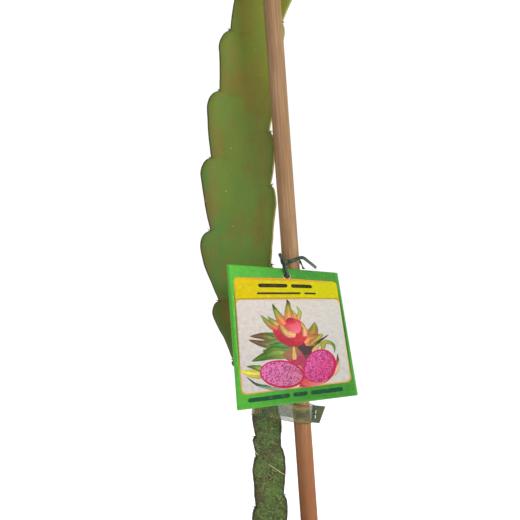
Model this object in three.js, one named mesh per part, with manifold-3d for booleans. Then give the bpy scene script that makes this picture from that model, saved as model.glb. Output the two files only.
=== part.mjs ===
// A potted dragon fruit plant: a rooted, three-ribbed stem segment in a nursery pot, the long
// scalloped shoot that grew from it, the round stake that both are tied to, and a hanging card.
// Units are millimetres, +Z is up, and the origin is the centre of the pot's flat underside.

import * as THREE from 'three';
import { mergeVertices } from 'three/addons/utils/BufferGeometryUtils.js';
import Module from 'manifold-3d';

const wasm = await Module();
wasm.setup();

// ---- Driving dimensions ---------------------------------------------------------------------

// How far apart pieces stand where one rests on, holds or passes through another. A stem's skin
// is stepped, so a copy that cuts room for it is grown by more than the gap that it leaves.
const FIT_GAP = 0.3;
const STEM_ROOM = 0.6;

// Pot
const POT_HEIGHT = 150;
const POT_TOP_RADIUS = 82;
const POT_BASE_RADIUS = 64;
const POT_WALL = 1.6;
const POT_FLOOR = 2;
const RIM_HEIGHT = 13;
const RIM_OVERHANG = 3;
const DRAIN_HOLE_RADIUS = 4.5;
const DRAIN_HOLE_COUNT = 8;
const POT_SIDES = 48;

// Potting mix
const HEADSPACE = 18;
const MIX_DIP = 2.5;

// Stake: where its axis crosses the mix, which way it leans, and how deep it stands
const STAKE_RADIUS = 6;
const STAKE_LENGTH = 688;
const STAKE_DEPTH = 102;
const STAKE_FOOT_X = 18.2;
const STAKE_BACK_Y = 0.5;
const STAKE_LEAN_LEFT = 0.0725;
const STAKE_LEAN_FORWARD = 0.0172;
const STAKE_CHAMFER = 1;
const STAKE_SIDES = 24;

// Stems: spacing of the sections, and how a lobe runs between two spine cushions
const SECTION_STEP = 3;
const LOBE_SHOULDER = 0.77;
const LOBE_SLOPE = 1.1;

// Tape that ties a stem to the stake. Each tie has its height above the mix, its tilt, the
// direction that its tail points in, seen from above, and how far along the tail the staple is.
const TAPE_WIDTH = 12;
const TAPE_THICKNESS = 0.5;
const TAPE_TAIL = 8.2;
const TAPE_TAIL_SLANT = 3;
const TAPE_PINCH = 1.8;
const LOWER_TAPE = { height: 144.6, tilt: 6, turn: 0, stapleInset: 1.8 };
const UPPER_TAPE = { height: 457, tilt: -4, turn: -58, stapleInset: 2.4 };

// Staple
const STAPLE_CROWN = 6.2;
const STAPLE_WIRE = 0.5;
const STAPLE_GAP = 1.1;

// Hanging card: its size, the bend of the board, and where its hole hangs beside the stake
const CARD_WIDTH = 77;
const CARD_HEIGHT = 95;
const CARD_THICKNESS = 0.5;
const CARD_HOLE_RADIUS = 2.5;
const CARD_HOLE_INSET = 7.1;
const CARD_HOLE_OFFSET = 1.5;
const CARD_BEND_RADIUS = 142;
const CARD_BEND_ANGLE = 54;
const CARD_TWIST = -0.00306;
const CARD_TILT = [-24.2, 1.6, 3.6];
const CARD_HOLE_HEIGHT = 239.3;
const CARD_STANDOFF = 6.6;
const CARD_LEFT_OF_STAKE = 3.9;

// Twist tie of the card
const TIE_RADIUS = 0.9;
const TIE_SLACK = 0.6;
const TIE_HEIGHT = 250;

// ---- Materials ------------------------------------------------------------------------------

const finish = (color, roughness, metalness = 0) =>
  new THREE.MeshStandardMaterial({ color, roughness, metalness });
const potPlastic = finish(0x24262a, 0.5);
const mixPeat = finish(0x3b2b20, 0.95);
const stakeWood = finish(0x9c6b48, 0.7);
const oldSkin = finish(0x5c6338, 0.75);
const youngSkin = finish(0x64803a, 0.5);
const cardBoard = finish(0x54a13a, 0.35);
const tiePlastic = finish(0x2f4a33, 0.5);
const tapeFilm = finish(0x768069, 0.3);
const stapleSteel = finish(0xc9cccd, 0.3, 1);

// ---- Small tools ----------------------------------------------------------------------------

const radians = THREE.MathUtils.degToRad;

// A closed three.js geometry as a solid that can be joined and cut.
function toSolid(geometry) {
  const bare = geometry.clone();
  bare.deleteAttribute('normal');
  bare.deleteAttribute('uv');
  const merged = mergeVertices(bare, 1e-4);
  return new wasm.Manifold(new wasm.Mesh({
    numProp: 3,
    vertProperties: new Float32Array(merged.attributes.position.array),
    triVerts: new Uint32Array(merged.index.array),
  }));
}

function toGeometry(solid) {
  const mesh = solid.getMesh();
  const geometry = new THREE.BufferGeometry();
  geometry.setAttribute('position', new THREE.BufferAttribute(mesh.vertProperties, 3));
  geometry.setIndex(new THREE.BufferAttribute(mesh.triVerts, 1));
  geometry.computeVertexNormals();
  return geometry;
}

// The value at s on a smooth line through [position, value] pairs.
function along(pairs, s) {
  if (s <= pairs[0][0]) return pairs[0][1];
  for (let i = 1; i < pairs.length; i += 1) {
    const [from, low] = pairs[i - 1];
    const [to, high] = pairs[i];
    if (s <= to) return low + (high - low) * THREE.MathUtils.smoothstep(s, from, to);
  }
  return pairs[pairs.length - 1][1];
}

// ---- Pot ------------------------------------------------------------------------------------

const MIX_TOP = POT_HEIGHT - HEADSPACE;

function potOuterRadius(height) {
  return THREE.MathUtils.lerp(POT_BASE_RADIUS, POT_TOP_RADIUS, height / POT_HEIGHT);
}

function potGeometry() {
  const rimFoot = POT_HEIGHT - RIM_HEIGHT;
  const lip = POT_WALL / 2;
  const rimRadius = POT_TOP_RADIUS + RIM_OVERHANG;
  const profile = [
    [0, 0],
    [POT_BASE_RADIUS - 2, 0],
    [POT_BASE_RADIUS, 2],
    [potOuterRadius(rimFoot), rimFoot],
    [rimRadius - POT_WALL, rimFoot],
    [rimRadius, rimFoot + POT_WALL],
    [rimRadius, POT_HEIGHT - lip],
    [rimRadius - lip, POT_HEIGHT],
    [POT_TOP_RADIUS - POT_WALL + lip, POT_HEIGHT],
    [POT_TOP_RADIUS - POT_WALL, POT_HEIGHT - lip],
    [potOuterRadius(POT_FLOOR + 2) - POT_WALL, POT_FLOOR + 2],
    [potOuterRadius(POT_FLOOR) - POT_WALL - 2, POT_FLOOR],
    [0, POT_FLOOR],
  ].map(([radius, height]) => new THREE.Vector2(radius, height));
  const shell = new THREE.LatheGeometry(profile, POT_SIDES);
  shell.rotateX(Math.PI / 2);
  let pot = toSolid(shell);
  const ringRadius = POT_BASE_RADIUS - 4 * DRAIN_HOLE_RADIUS;
  for (let i = 0; i < DRAIN_HOLE_COUNT; i += 1) {
    const angle = (2 * Math.PI * i) / DRAIN_HOLE_COUNT;
    const hole = new THREE.CylinderGeometry(DRAIN_HOLE_RADIUS, DRAIN_HOLE_RADIUS, 4 * POT_FLOOR, 12);
    hole.rotateX(Math.PI / 2);
    hole.translate(ringRadius * Math.cos(angle), ringRadius * Math.sin(angle), POT_FLOOR / 2);
    pot = pot.subtract(toSolid(hole));
  }
  return toGeometry(pot);
}

// ---- Stake ----------------------------------------------------------------------------------

// The centre of the stake at a height above the mix. Its back follows a fixed line, so that a
// thicker stake grows towards the front and the stems stay clear of it.
function stakeCentre(height) {
  return new THREE.Vector3(
    STAKE_FOOT_X - STAKE_LEAN_LEFT * height,
    STAKE_BACK_Y - STAKE_RADIUS - STAKE_LEAN_FORWARD * height,
    height,
  );
}

function stakeGeometry(grow) {
  const radius = STAKE_RADIUS + grow;
  const bevel = STAKE_CHAMFER;
  const profile = [
    [0, -grow],
    [radius - bevel, -grow],
    [radius, bevel - grow],
    [radius, STAKE_LENGTH - bevel],
    [radius - bevel, STAKE_LENGTH],
    [0, STAKE_LENGTH],
  ].map(([x, y]) => new THREE.Vector2(x, y));
  const shape = new THREE.LatheGeometry(profile, STAKE_SIDES);
  const up = stakeCentre(1).sub(stakeCentre(0)).normalize();
  const foot = stakeCentre(0).addScaledVector(up, -STAKE_DEPTH);
  shape.applyQuaternion(new THREE.Quaternion().setFromUnitVectors(new THREE.Vector3(0, 1, 0), up));
  shape.translate(foot.x, foot.y, foot.z);
  return shape;
}

// ---- Stems ----------------------------------------------------------------------------------

// How deep the rib edge lies inside the lobe's shoulder at s: 1 at a spine cushion, then a
// steady rise to the shoulder, and a short steep return to the next cushion.
function scallop(cushions, s) {
  const next = cushions.findIndex((place) => place > s);
  if (next < 1) return 0;
  const t = (s - cushions[next - 1]) / (cushions[next] - cushions[next - 1]);
  if (t < LOBE_SHOULDER) return (1 - t / LOBE_SHOULDER) ** LOBE_SLOPE;
  const turn = (t - LOBE_SHOULDER) / (1 - LOBE_SHOULDER);
  return 1 - Math.sqrt(Math.max(0, 1 - turn * turn));
}

// Half thickness of a rib, from its edge to its root, as [share of reach, half thickness].
function ribOutline(stem, reach, grow) {
  const edge = [[1, 0], [0.965, 0.85 * stem.edge], [0.55, stem.middle]];
  return edge.map(([share, half]) => {
    const distance = share * reach;
    return [distance + (share === 1 ? grow : 0), Math.min(half, 0.8 * distance) + (half ? grow : 0)];
  });
}

function stemSection(stem, s, length, grow) {
  const points = [];
  const past = Math.max(0, (s - length + stem.tip) / (stem.tip + FIT_GAP));
  const closing = Math.sqrt(1 - past * past);
  const core = along(stem.core, s) * closing + grow;
  const envelope = along(stem.reach, s) * closing;
  stem.ribs.forEach((rib, i) => {
    const angle = radians(rib.angle);
    const nextAngle = radians(stem.ribs[(i + 1) % 3].angle + (i === 2 ? 360 : 0));
    const reach = Math.max(envelope * (1 - rib.depth * scallop(rib.cushions, s)), core - grow);
    const outline = ribOutline(stem, reach, grow);
    const place = (distance, side) => points.push([
      distance * Math.cos(angle) - side * Math.sin(angle),
      distance * Math.sin(angle) + side * Math.cos(angle),
    ]);
    place(outline[2][0], -outline[2][1]);
    place(outline[1][0], -outline[1][1]);
    place(outline[0][0], 0);
    place(outline[1][0], outline[1][1]);
    place(outline[2][0], outline[2][1]);
    const valley = (angle + nextAngle) / 2;
    points.push([core * Math.cos(valley), core * Math.sin(valley)]);
  });
  return points;
}

// A stem is a skin through sections that stand square to its axis.
function stemGeometry(stem, grow = 0) {
  const axis = new THREE.CatmullRomCurve3(stem.axis.map((p) => new THREE.Vector3(...p)));
  const length = axis.getLength();
  const count = Math.round(length / SECTION_STEP);
  const positions = [];
  const index = [];
  const sideways = new THREE.Vector3(1, 0, 0);
  let ringSize = 0;
  for (let k = 0; k <= count; k += 1) {
    const centre = axis.getPointAt(k / count);
    const up = axis.getTangentAt(k / count);
    if (k === 0) centre.addScaledVector(up, -grow);
    if (k === count) centre.addScaledVector(up, grow);
    const u = sideways.clone().addScaledVector(up, -sideways.dot(up)).normalize();
    const v = up.clone().cross(u);
    const ring = stemSection(stem, (k / count) * length, length, grow);
    ringSize = ring.length;
    for (const [a, b] of ring) {
      const p = centre.clone().addScaledVector(u, a).addScaledVector(v, b);
      positions.push(p.x, p.y, p.z);
    }
    if (k > 0) {
      for (let j = 0; j < ringSize; j += 1) {
        const here = (k - 1) * ringSize + j;
        const beside = (k - 1) * ringSize + ((j + 1) % ringSize);
        index.push(here, beside, beside + ringSize, here, beside + ringSize, here + ringSize);
      }
    }
  }
  for (const [start, end] of [[0, 0], [count * ringSize, 1]]) {
    const centre = axis.getPointAt(end);
    centre.addScaledVector(axis.getTangentAt(end), end ? grow : -grow);
    const hub = positions.length / 3;
    positions.push(centre.x, centre.y, centre.z);
    for (let j = 0; j < ringSize; j += 1) {
      const a = start + j;
      const b = start + ((j + 1) % ringSize);
      index.push(hub, end ? a : b, end ? b : a);
    }
  }
  const geometry = new THREE.BufferGeometry();
  geometry.setAttribute('position', new THREE.Float32BufferAttribute(positions, 3));
  geometry.setIndex(index);
  geometry.computeVertexNormals();
  return geometry;
}

// Axis points are [x, y, height above the mix]; the other positions are millimetres along the axis.
const oldStem = {
  axis: [[-12, 0, -52], [-12.8, 0, 0], [-14, 0, 72], [-14.5, 0, 108], [-16.3, 0, 138], [-17.2, 0, 162]],
  reach: [[0, 11], [30, 12.6], [125, 13.4], [150, 12.8], [172, 11.3], [214, 9.6]],
  core: [[0, 5.5], [60, 6.5]],
  edge: 2.4,
  middle: 4.6,
  tip: 3,
  ribs: [
    { angle: -26, depth: 0.2, cushions: [0, 34, 68, 103, 138, 171, 195, 236] },
    { angle: 88, depth: 0.24, cushions: [0, 20, 54, 90, 122, 155, 190, 222] },
    { angle: 206, depth: 0.2, cushions: [0, 30, 64, 98, 130, 165, 180, 196, 222] },
  ],
};

const youngStem = {
  axis: [
    [-20, -1, 156], [-24.6, 0, 166], [-28.5, 1, 181], [-33, 3.5, 213], [-36.2, 6.3, 260],
    [-36, 7.5, 308], [-34.5, 8, 350], [-28, 8.5, 388], [-25.5, 8.8, 411], [-19.6, 9.2, 432],
    [-8, 9.6, 468], [3, 10, 508], [9, 10, 540], [12.6, 10, 564],
  ],
  reach: [
    [0, 4], [12, 5], [32, 17], [62, 22.5], [97, 28.2], [157, 28.5], [197, 26], [232, 25],
    [277, 22.5], [347, 23], [422, 19],
  ],
  core: [[0, 3.4], [12, 4], [60, 6.5], [425, 5.5]],
  edge: 1.4,
  middle: 2.9,
  tip: 20,
  ribs: [
    { angle: -20, depth: 0.15, cushions: [6, 42.5, 90.5, 148.5, 186.5, 226.5, 268.5, 310.5, 352.5, 390.5, 436.5] },
    { angle: 90, depth: 0.25, cushions: [2, 20.5, 52.5, 90.5, 128.5, 168.5, 208.5, 248.5, 290.5, 332.5, 372.5, 426.5] },
    { angle: 200, depth: 0.27, cushions: [8, 27.5, 68.5, 116.5, 167.5, 211.5, 255.5, 301.5, 346.5, 382.5, 431.5] },
  ],
};

// The shoot is trimmed where its neck sits on the old stem.
function youngStemGeometry() {
  return toGeometry(toSolid(stemGeometry(youngStem)).subtract(toSolid(stemGeometry(oldStem, STEM_ROOM))));
}

// ---- Potting mix ----------------------------------------------------------------------------

function mixGeometry() {
  const wall = (height) => potOuterRadius(height) - POT_WALL - FIT_GAP;
  const floor = POT_FLOOR + FIT_GAP;
  const profile = [
    [0, floor],
    [wall(floor) - 3, floor],
    [wall(floor + 3) - 0.4, floor + 3],
    [wall(MIX_TOP - MIX_DIP) - 0.4, MIX_TOP - MIX_DIP],
    [0.7 * POT_TOP_RADIUS, MIX_TOP - 0.6 * MIX_DIP],
    [0.35 * POT_TOP_RADIUS, MIX_TOP],
    [0, MIX_TOP],
  ].map(([radius, height]) => new THREE.Vector2(radius, height));
  const lump = new THREE.LatheGeometry(profile, POT_SIDES);
  lump.rotateX(Math.PI / 2);
  lump.translate(0, 0, -MIX_TOP);
  const buried = [stemGeometry(oldStem, STEM_ROOM), stakeGeometry(FIT_GAP)];
  return toGeometry(buried.reduce((rest, piece) => rest.subtract(toSolid(piece)), toSolid(lump)));
}

// ---- Tape and staple ------------------------------------------------------------------------

// The convex outline round a set of [x, y] points, counter-clockwise.
function convexOutline(points) {
  const sorted = [...points].sort((a, b) => a[0] - b[0] || a[1] - b[1]);
  const turn = (o, a, b) => (a[0] - o[0]) * (b[1] - o[1]) - (a[1] - o[1]) * (b[0] - o[0]);
  const half = (list) => {
    const chain = [];
    for (const point of list) {
      while (chain.length > 1 && turn(chain[chain.length - 2], chain[chain.length - 1], point) < 0.05) {
        chain.pop();
      }
      chain.push(point);
    }
    return chain.slice(0, -1);
  };
  return [...half(sorted), ...half(sorted.reverse())];
}

// A convex outline moved outwards by a distance.
function outset(outline, distance) {
  const count = outline.length;
  const normal = (a, b) => {
    const length = Math.hypot(b[0] - a[0], b[1] - a[1]);
    return [(b[1] - a[1]) / length, (a[0] - b[0]) / length];
  };
  return outline.map((point, i) => {
    const before = normal(outline[(i + count - 1) % count], point);
    const after = normal(point, outline[(i + 1) % count]);
    const sum = [before[0] + after[0], before[1] + after[1]];
    const scale = (2 * distance) / (sum[0] ** 2 + sum[1] ** 2);
    return new THREE.Vector2(point[0] + sum[0] * scale, point[1] + sum[1] * scale);
  });
}

// The band's own frame: its middle lies on the stake's axis, and its tail points along X.
function tapeTurn(tape) {
  return new THREE.Euler(0, radians(tape.tilt), radians(tape.turn), 'YXZ');
}

function tapeFrame(tape) {
  const centre = stakeCentre(tape.height);
  return new THREE.Matrix4()
    .makeRotationFromEuler(tapeTurn(tape))
    .setPosition(centre.x, centre.y, centre.z);
}

// What the tape goes round, seen along the band's axis.
function tapedPoints(tape, stem) {
  const frame = tapeFrame(tape);
  const inverse = frame.clone().invert();
  const reach = TAPE_WIDTH / 2 + SECTION_STEP;
  const points = [];
  const position = stemGeometry(stem).attributes.position;
  for (let i = 0; i < position.count; i += 1) {
    const p = new THREE.Vector3().fromBufferAttribute(position, i).applyMatrix4(inverse);
    if (Math.abs(p.z) < reach) points.push([p.x, p.y]);
  }
  for (const end of [-reach, reach]) {
    for (let i = 0; i < STAKE_SIDES; i += 1) {
      const angle = (2 * Math.PI * i) / STAKE_SIDES;
      const p = stakeCentre(tape.height + end);
      p.x += STAKE_RADIUS * Math.cos(angle);
      p.y += STAKE_RADIUS * Math.sin(angle);
      p.applyMatrix4(inverse);
      points.push([p.x, p.y]);
    }
  }
  return points;
}

const TAIL_START = STAKE_RADIUS + TAPE_PINCH;

// A band round the stem and the stake, with a two-layer tail that the staple closes.
function tapeGeometry(tape, stem) {
  const hull = convexOutline([...tapedPoints(tape, stem), [TAIL_START, 0]]);
  const ring = new THREE.Shape(outset(hull, FIT_GAP + TAPE_THICKNESS));
  ring.holes.push(new THREE.Path(outset(hull, FIT_GAP)));
  const band = new THREE.ExtrudeGeometry(ring, { depth: TAPE_WIDTH, bevelEnabled: false });
  band.translate(0, 0, -TAPE_WIDTH / 2);

  const half = TAPE_WIDTH / 2;
  const end = TAIL_START + TAPE_TAIL;
  const flat = new THREE.Shape([
    new THREE.Vector2(TAIL_START + FIT_GAP + TAPE_THICKNESS / 2, -half),
    new THREE.Vector2(end - TAPE_TAIL_SLANT, -half),
    new THREE.Vector2(end, half),
    new THREE.Vector2(TAIL_START + FIT_GAP + TAPE_THICKNESS / 2, half),
  ]);
  const tail = new THREE.ExtrudeGeometry(flat, { depth: 2 * TAPE_THICKNESS, bevelEnabled: false });
  tail.rotateX(Math.PI / 2);
  tail.translate(0, TAPE_THICKNESS, 0);

  let strap = toSolid(band).add(toSolid(tail));
  for (const side of [-1, 1]) {
    const slot = STAPLE_WIRE + 2 * FIT_GAP;
    const hole = new THREE.BoxGeometry(slot, 8 * TAPE_THICKNESS, slot);
    hole.translate(TAIL_START + tape.stapleInset, 0, (side * (STAPLE_CROWN - STAPLE_WIRE)) / 2);
    strap = strap.subtract(toSolid(hole));
  }
  return toGeometry(strap);
}

// A C of flat wire: the crown behind the tail, and two legs bent over on its front.
function stapleGeometry(tape) {
  const inner = TAPE_THICKNESS + FIT_GAP;
  const outer = inner + STAPLE_WIRE;
  const tall = STAPLE_CROWN / 2;
  const low = tall - STAPLE_WIRE;
  const gap = STAPLE_GAP / 2;
  const outline = [
    [outer, -tall], [outer, tall], [-outer, tall], [-outer, gap], [-inner, gap], [-inner, low],
    [inner, low], [inner, -low], [-inner, -low], [-inner, -gap], [-outer, -gap], [-outer, -tall],
  ].map(([y, z]) => new THREE.Vector2(y, z));
  const wire = new THREE.ExtrudeGeometry(new THREE.Shape(outline), {
    depth: STAPLE_WIRE,
    bevelEnabled: false,
  });
  wire.translate(0, 0, -STAPLE_WIRE / 2);
  // The outline lies in the plane of Y and Z, and the wire's width along X.
  wire.applyMatrix4(new THREE.Matrix4().makeBasis(
    new THREE.Vector3(0, 1, 0), new THREE.Vector3(0, 0, 1), new THREE.Vector3(1, 0, 0),
  ));
  wire.translate(TAIL_START + tape.stapleInset, 0, 0);
  return wire;
}

// ---- Card -----------------------------------------------------------------------------------

// A point of the flat card, bent round a slanted axis and twisted.
function bendCard(point) {
  const slant = radians(CARD_BEND_ANGLE);
  const across = point.x * Math.cos(slant) + point.y * Math.sin(slant);
  const length = -point.x * Math.sin(slant) + point.y * Math.cos(slant);
  const turn = across / CARD_BEND_RADIUS;
  const radius = CARD_BEND_RADIUS + point.z;
  const chord = radius * Math.sin(turn);
  return new THREE.Vector3(
    chord * Math.cos(slant) - length * Math.sin(slant),
    chord * Math.sin(slant) + length * Math.cos(slant),
    radius * Math.cos(turn) - CARD_BEND_RADIUS + CARD_TWIST * point.x * point.y,
  );
}

const cardTurn = new THREE.Quaternion().setFromAxisAngle(new THREE.Vector3(1, 0, 0), Math.PI / 2)
  .multiply(new THREE.Quaternion().setFromEuler(
    new THREE.Euler(...CARD_TILT.map(radians), 'ZYX'),
  ));
const cardHole = new THREE.Vector3(CARD_HOLE_OFFSET, CARD_HEIGHT / 2 - CARD_HOLE_INSET, 0);

// Where the card hangs: its hole in front of the stake, a little to the left.
function cardPlace() {
  const hole = stakeCentre(CARD_HOLE_HEIGHT);
  hole.x -= CARD_LEFT_OF_STAKE;
  hole.y -= STAKE_RADIUS + CARD_STANDOFF;
  return hole.sub(bendCard(cardHole).applyQuaternion(cardTurn));
}

function cardPoint(x, y, z) {
  return bendCard(new THREE.Vector3(x, y, z)).applyQuaternion(cardTurn).add(cardPlace());
}

function cardGeometry() {
  const board = new THREE.BoxGeometry(CARD_WIDTH, CARD_HEIGHT, CARD_THICKNESS, 12, 14, 1);
  const hole = new THREE.CylinderGeometry(CARD_HOLE_RADIUS, CARD_HOLE_RADIUS, 4 * CARD_THICKNESS, 16);
  hole.rotateX(Math.PI / 2);
  hole.translate(cardHole.x, cardHole.y, 0);
  const card = toGeometry(toSolid(board).subtract(toSolid(hole)));
  const position = card.attributes.position;
  for (let i = 0; i < position.count; i += 1) {
    const p = bendCard(new THREE.Vector3().fromBufferAttribute(position, i));
    position.setXYZ(i, p.x, p.y, p.z);
  }
  card.computeVertexNormals();
  return card;
}

// ---- Twist tie ------------------------------------------------------------------------------

// One length of coated wire: a free tail on the right, across the stake's front, down through
// the card's hole, up behind the card, round the stake's back, and a short end on the right.
function tieGeometry() {
  const hug = STAKE_RADIUS + TIE_SLACK + TIE_RADIUS;
  const ring = (degrees, rise) => {
    const p = stakeCentre(TIE_HEIGHT + rise);
    p.x += hug * Math.cos(radians(degrees));
    p.y += hug * Math.sin(radians(degrees));
    return p;
  };
  const beside = (x, y, rise) => {
    const p = stakeCentre(TIE_HEIGHT + rise);
    p.x += x * hug;
    p.y += y * hug;
    return p;
  };
  const lift = CARD_HOLE_RADIUS - TIE_RADIUS - FIT_GAP;
  const strand = CARD_THICKNESS / 2 + FIT_GAP + TIE_RADIUS;
  const throughHole = (rise, out) => cardPoint(cardHole.x, cardHole.y + rise, out);
  const route = [
    beside(2.25, -0.85, -5.4),
    beside(1.65, -0.98, -1.6),
    beside(1.05, -1.0, 1.6),
    ring(-62, 0.4),
    ring(-90, -1.0),
    ring(-118, -1.2),
    beside(-0.62, -1.2, -1.4),
    throughHole(8.2, strand + 0.9),
    throughHole(4.2, strand + 0.5),
    throughHole(lift, strand),
    throughHole(lift, 0),
    throughHole(lift + 0.6, -strand),
    throughHole(5, -strand - 0.4),
    ring(-158, -1.5),
    ring(-190, 0.4),
    ring(-230, 1.2),
    ring(-270, 1.2),
    ring(-310, 0.6),
    ring(-345, -2),
    beside(1.12, -0.2, -6.2),
  ];
  const section = new THREE.Shape();
  section.absarc(0, 0, TIE_RADIUS, 0, 2 * Math.PI);
  return new THREE.ExtrudeGeometry(section, {
    steps: 72,
    curveSegments: 4,
    bevelEnabled: false,
    extrudePath: new THREE.CatmullRomCurve3(route),
  });
}

// ---- Assembly -------------------------------------------------------------------------------

function piece(name, geometry, material) {
  const mesh = new THREE.Mesh(geometry, material);
  mesh.name = name;
  return mesh;
}

function tapeGroup(prefix, tape, stem) {
  const group = new THREE.Group();
  group.position.copy(stakeCentre(tape.height));
  group.rotation.copy(tapeTurn(tape));
  group.add(
    piece(`${prefix}tape_tie`, tapeGeometry(tape, stem), tapeFilm),
    piece(`${prefix}tape_staple`, stapleGeometry(tape), stapleSteel),
  );
  return group;
}

const card = piece('label_card', cardGeometry(), cardBoard);
card.quaternion.copy(cardTurn);
card.position.copy(cardPlace());

const plant = new THREE.Group();
plant.position.z = MIX_TOP;
plant.add(
  piece('potting_mix', mixGeometry(), mixPeat),
  piece('old_stem', stemGeometry(oldStem), oldSkin),
  piece('young_stem', youngStemGeometry(), youngSkin),
  piece('stake', stakeGeometry(0), stakeWood),
  card,
  piece('label_tie', tieGeometry(), tiePlastic),
  tapeGroup('', LOWER_TAPE, oldStem),
  tapeGroup('upper_', UPPER_TAPE, youngStem),
);

const pottedPlant = new THREE.Group();
pottedPlant.add(piece('pot', potGeometry(), potPlastic), plant);

export default pottedPlant;
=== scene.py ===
"""A potted dragon fruit plant as a nursery sells it: an old rooted stem and its long young shoot in
a black pot, tied to a wooden stake with tape, and a picture card hanging from a twist tie."""

import math
import random

import bmesh
import bpy
import numpy as np
from mathutils import Matrix, Vector, noise
from mathutils.geometry import delaunay_2d_cdt


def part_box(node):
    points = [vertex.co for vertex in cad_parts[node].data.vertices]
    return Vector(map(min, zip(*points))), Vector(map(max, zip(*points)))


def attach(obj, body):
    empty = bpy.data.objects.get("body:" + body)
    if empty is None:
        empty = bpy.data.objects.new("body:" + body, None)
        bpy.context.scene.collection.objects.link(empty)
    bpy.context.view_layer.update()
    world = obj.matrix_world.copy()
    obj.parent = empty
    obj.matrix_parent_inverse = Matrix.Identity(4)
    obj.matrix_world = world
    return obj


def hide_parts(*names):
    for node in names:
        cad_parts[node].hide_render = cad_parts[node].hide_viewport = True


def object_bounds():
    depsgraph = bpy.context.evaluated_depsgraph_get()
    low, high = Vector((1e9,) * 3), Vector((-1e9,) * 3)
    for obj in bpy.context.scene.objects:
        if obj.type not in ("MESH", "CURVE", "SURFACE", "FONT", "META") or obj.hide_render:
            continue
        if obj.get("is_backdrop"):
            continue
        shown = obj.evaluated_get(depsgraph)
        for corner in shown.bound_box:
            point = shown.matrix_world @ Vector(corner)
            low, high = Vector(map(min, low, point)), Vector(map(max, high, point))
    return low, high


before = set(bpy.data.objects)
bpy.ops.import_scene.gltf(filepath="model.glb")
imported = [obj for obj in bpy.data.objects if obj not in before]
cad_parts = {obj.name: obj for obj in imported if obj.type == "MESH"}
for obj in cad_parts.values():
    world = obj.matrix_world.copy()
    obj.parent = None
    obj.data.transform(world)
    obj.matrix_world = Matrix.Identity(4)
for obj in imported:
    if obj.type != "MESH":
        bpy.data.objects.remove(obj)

cad_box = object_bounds()
MM = 0.001


# ---- Pot -------------------------------------------------------------------------------------
# A 17 cm nursery pot, injection moulded in black polypropylene with a turned-out rim. The wall is
# thin and slightly tapered, the floor has drain holes, and the outside is scuffed and splashed.

class Value:
    """What a node gives. Arithmetic on it adds Math nodes to the same tree."""

    def __init__(self, wiring, socket):
        self.wiring = wiring
        self.socket = socket

    def reckon(self, operation, *terms):
        return self.wiring.node("ShaderNodeMath", {"operation": operation}, dict(enumerate(terms)))

    def __add__(self, other):
        return self.reckon("ADD", self, other)

    def __sub__(self, other):
        return self.reckon("SUBTRACT", self, other)

    def __rsub__(self, other):
        return self.reckon("SUBTRACT", other, self)

    def __mul__(self, other):
        return self.reckon("MULTIPLY", self, other)

    __radd__ = __add__
    __rmul__ = __mul__

    def rise(self, low, high):
        """0 below low, 1 above high, and smooth between. It falls instead where low > high."""
        ends = (low, high, 0.0, 1.0) if low < high else (high, low, 1.0, 0.0)
        sockets = dict(enumerate((self, *ends)))
        return self.wiring.node("ShaderNodeMapRange", {"interpolation_type": "SMOOTHSTEP"}, sockets)

    def beside(self, out):
        """Another output of the node that this one comes from."""
        return Value(self.wiring, self.socket.node.outputs[out])


class Wiring:
    """A node tree that is put together one node at a time."""

    def __init__(self, tree):
        self.tree = tree

    def put(self, value, socket):
        if isinstance(value, Value):
            self.tree.links.new(value.socket, socket)
        else:
            socket.default_value = value

    def node(self, kind, settings=None, sockets=None, out=0):
        made = self.tree.nodes.new(kind)
        for name, setting in (settings or {}).items():
            setattr(made, name, setting)
        for key, value in (sockets or {}).items():
            self.put(value, made.inputs[key])
        return Value(self, made.outputs[out])


def tint(red, green, blue):
    """A display colour, 0 to 255, as the linear colour that the shader works with."""
    def linear(level):
        share = level / 255
        return share / 12.92 if share <= 0.04045 else ((share + 0.055) / 1.055) ** 2.4
    return (linear(red), linear(green), linear(blue), 1.0)


class Paint(Wiring):
    """A material whose colour, roughness and relief are mixed from nodes, one coat over another."""

    def __init__(self, name):
        self.material = bpy.data.materials.new(name)
        self.material.use_nodes = True
        super().__init__(self.material.node_tree)
        self.shader = self.tree.nodes["Principled BSDF"]
        self.here = self.node("ShaderNodeTexCoord", out="Object")

    def noise(self, scale, detail=3.0, rough=0.55, stretch=None, place=None):
        place = place or self.here
        if stretch:
            sockets = {"Vector": place, "Scale": stretch}
            place = self.node("ShaderNodeMapping", {"vector_type": "POINT"}, sockets)
        sockets = {"Vector": place, "Scale": scale, "Detail": detail, "Roughness": rough}
        return self.node("ShaderNodeTexNoise", {}, sockets)

    def cells(self, scale, place=None):
        return self.node("ShaderNodeTexVoronoi", {}, {"Vector": place or self.here, "Scale": scale})

    def attribute(self, name, out="Fac"):
        return self.node("ShaderNodeAttribute", {"attribute_name": name}, out=out)

    def mix(self, share, first, second):
        """Two colours in varying shares. Each is a node's colour or a display colour."""
        under, over = (end if isinstance(end, Value) else tint(*end) for end in (first, second))
        return self.node("ShaderNodeMix", {"data_type": "RGBA"}, {0: share, 6: under, 7: over}, out=2)

    def coat(self, share, colour):
        """Lays a colour over those before it."""
        self.colour = self.mix(share, self.colour, colour)

    def finish(self, roughness, height=None, depth=0.0, **others):
        """Joins the colour, the roughness, the relief and what else is given to the shader."""
        values = {"Base_Color": self.colour, "Roughness": roughness, **others}
        if height is not None:
            values["Normal"] = self.node("ShaderNodeBump", {}, {"Height": height, "Distance": depth})
        for key, value in values.items():
            self.put(value, self.shader.inputs[key.replace("_", " ")])
        return self.material


def placed(name, data):
    """A new object in the scene."""
    made = bpy.data.objects.new(name, data)
    bpy.context.scene.collection.objects.link(made)
    return made


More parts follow.
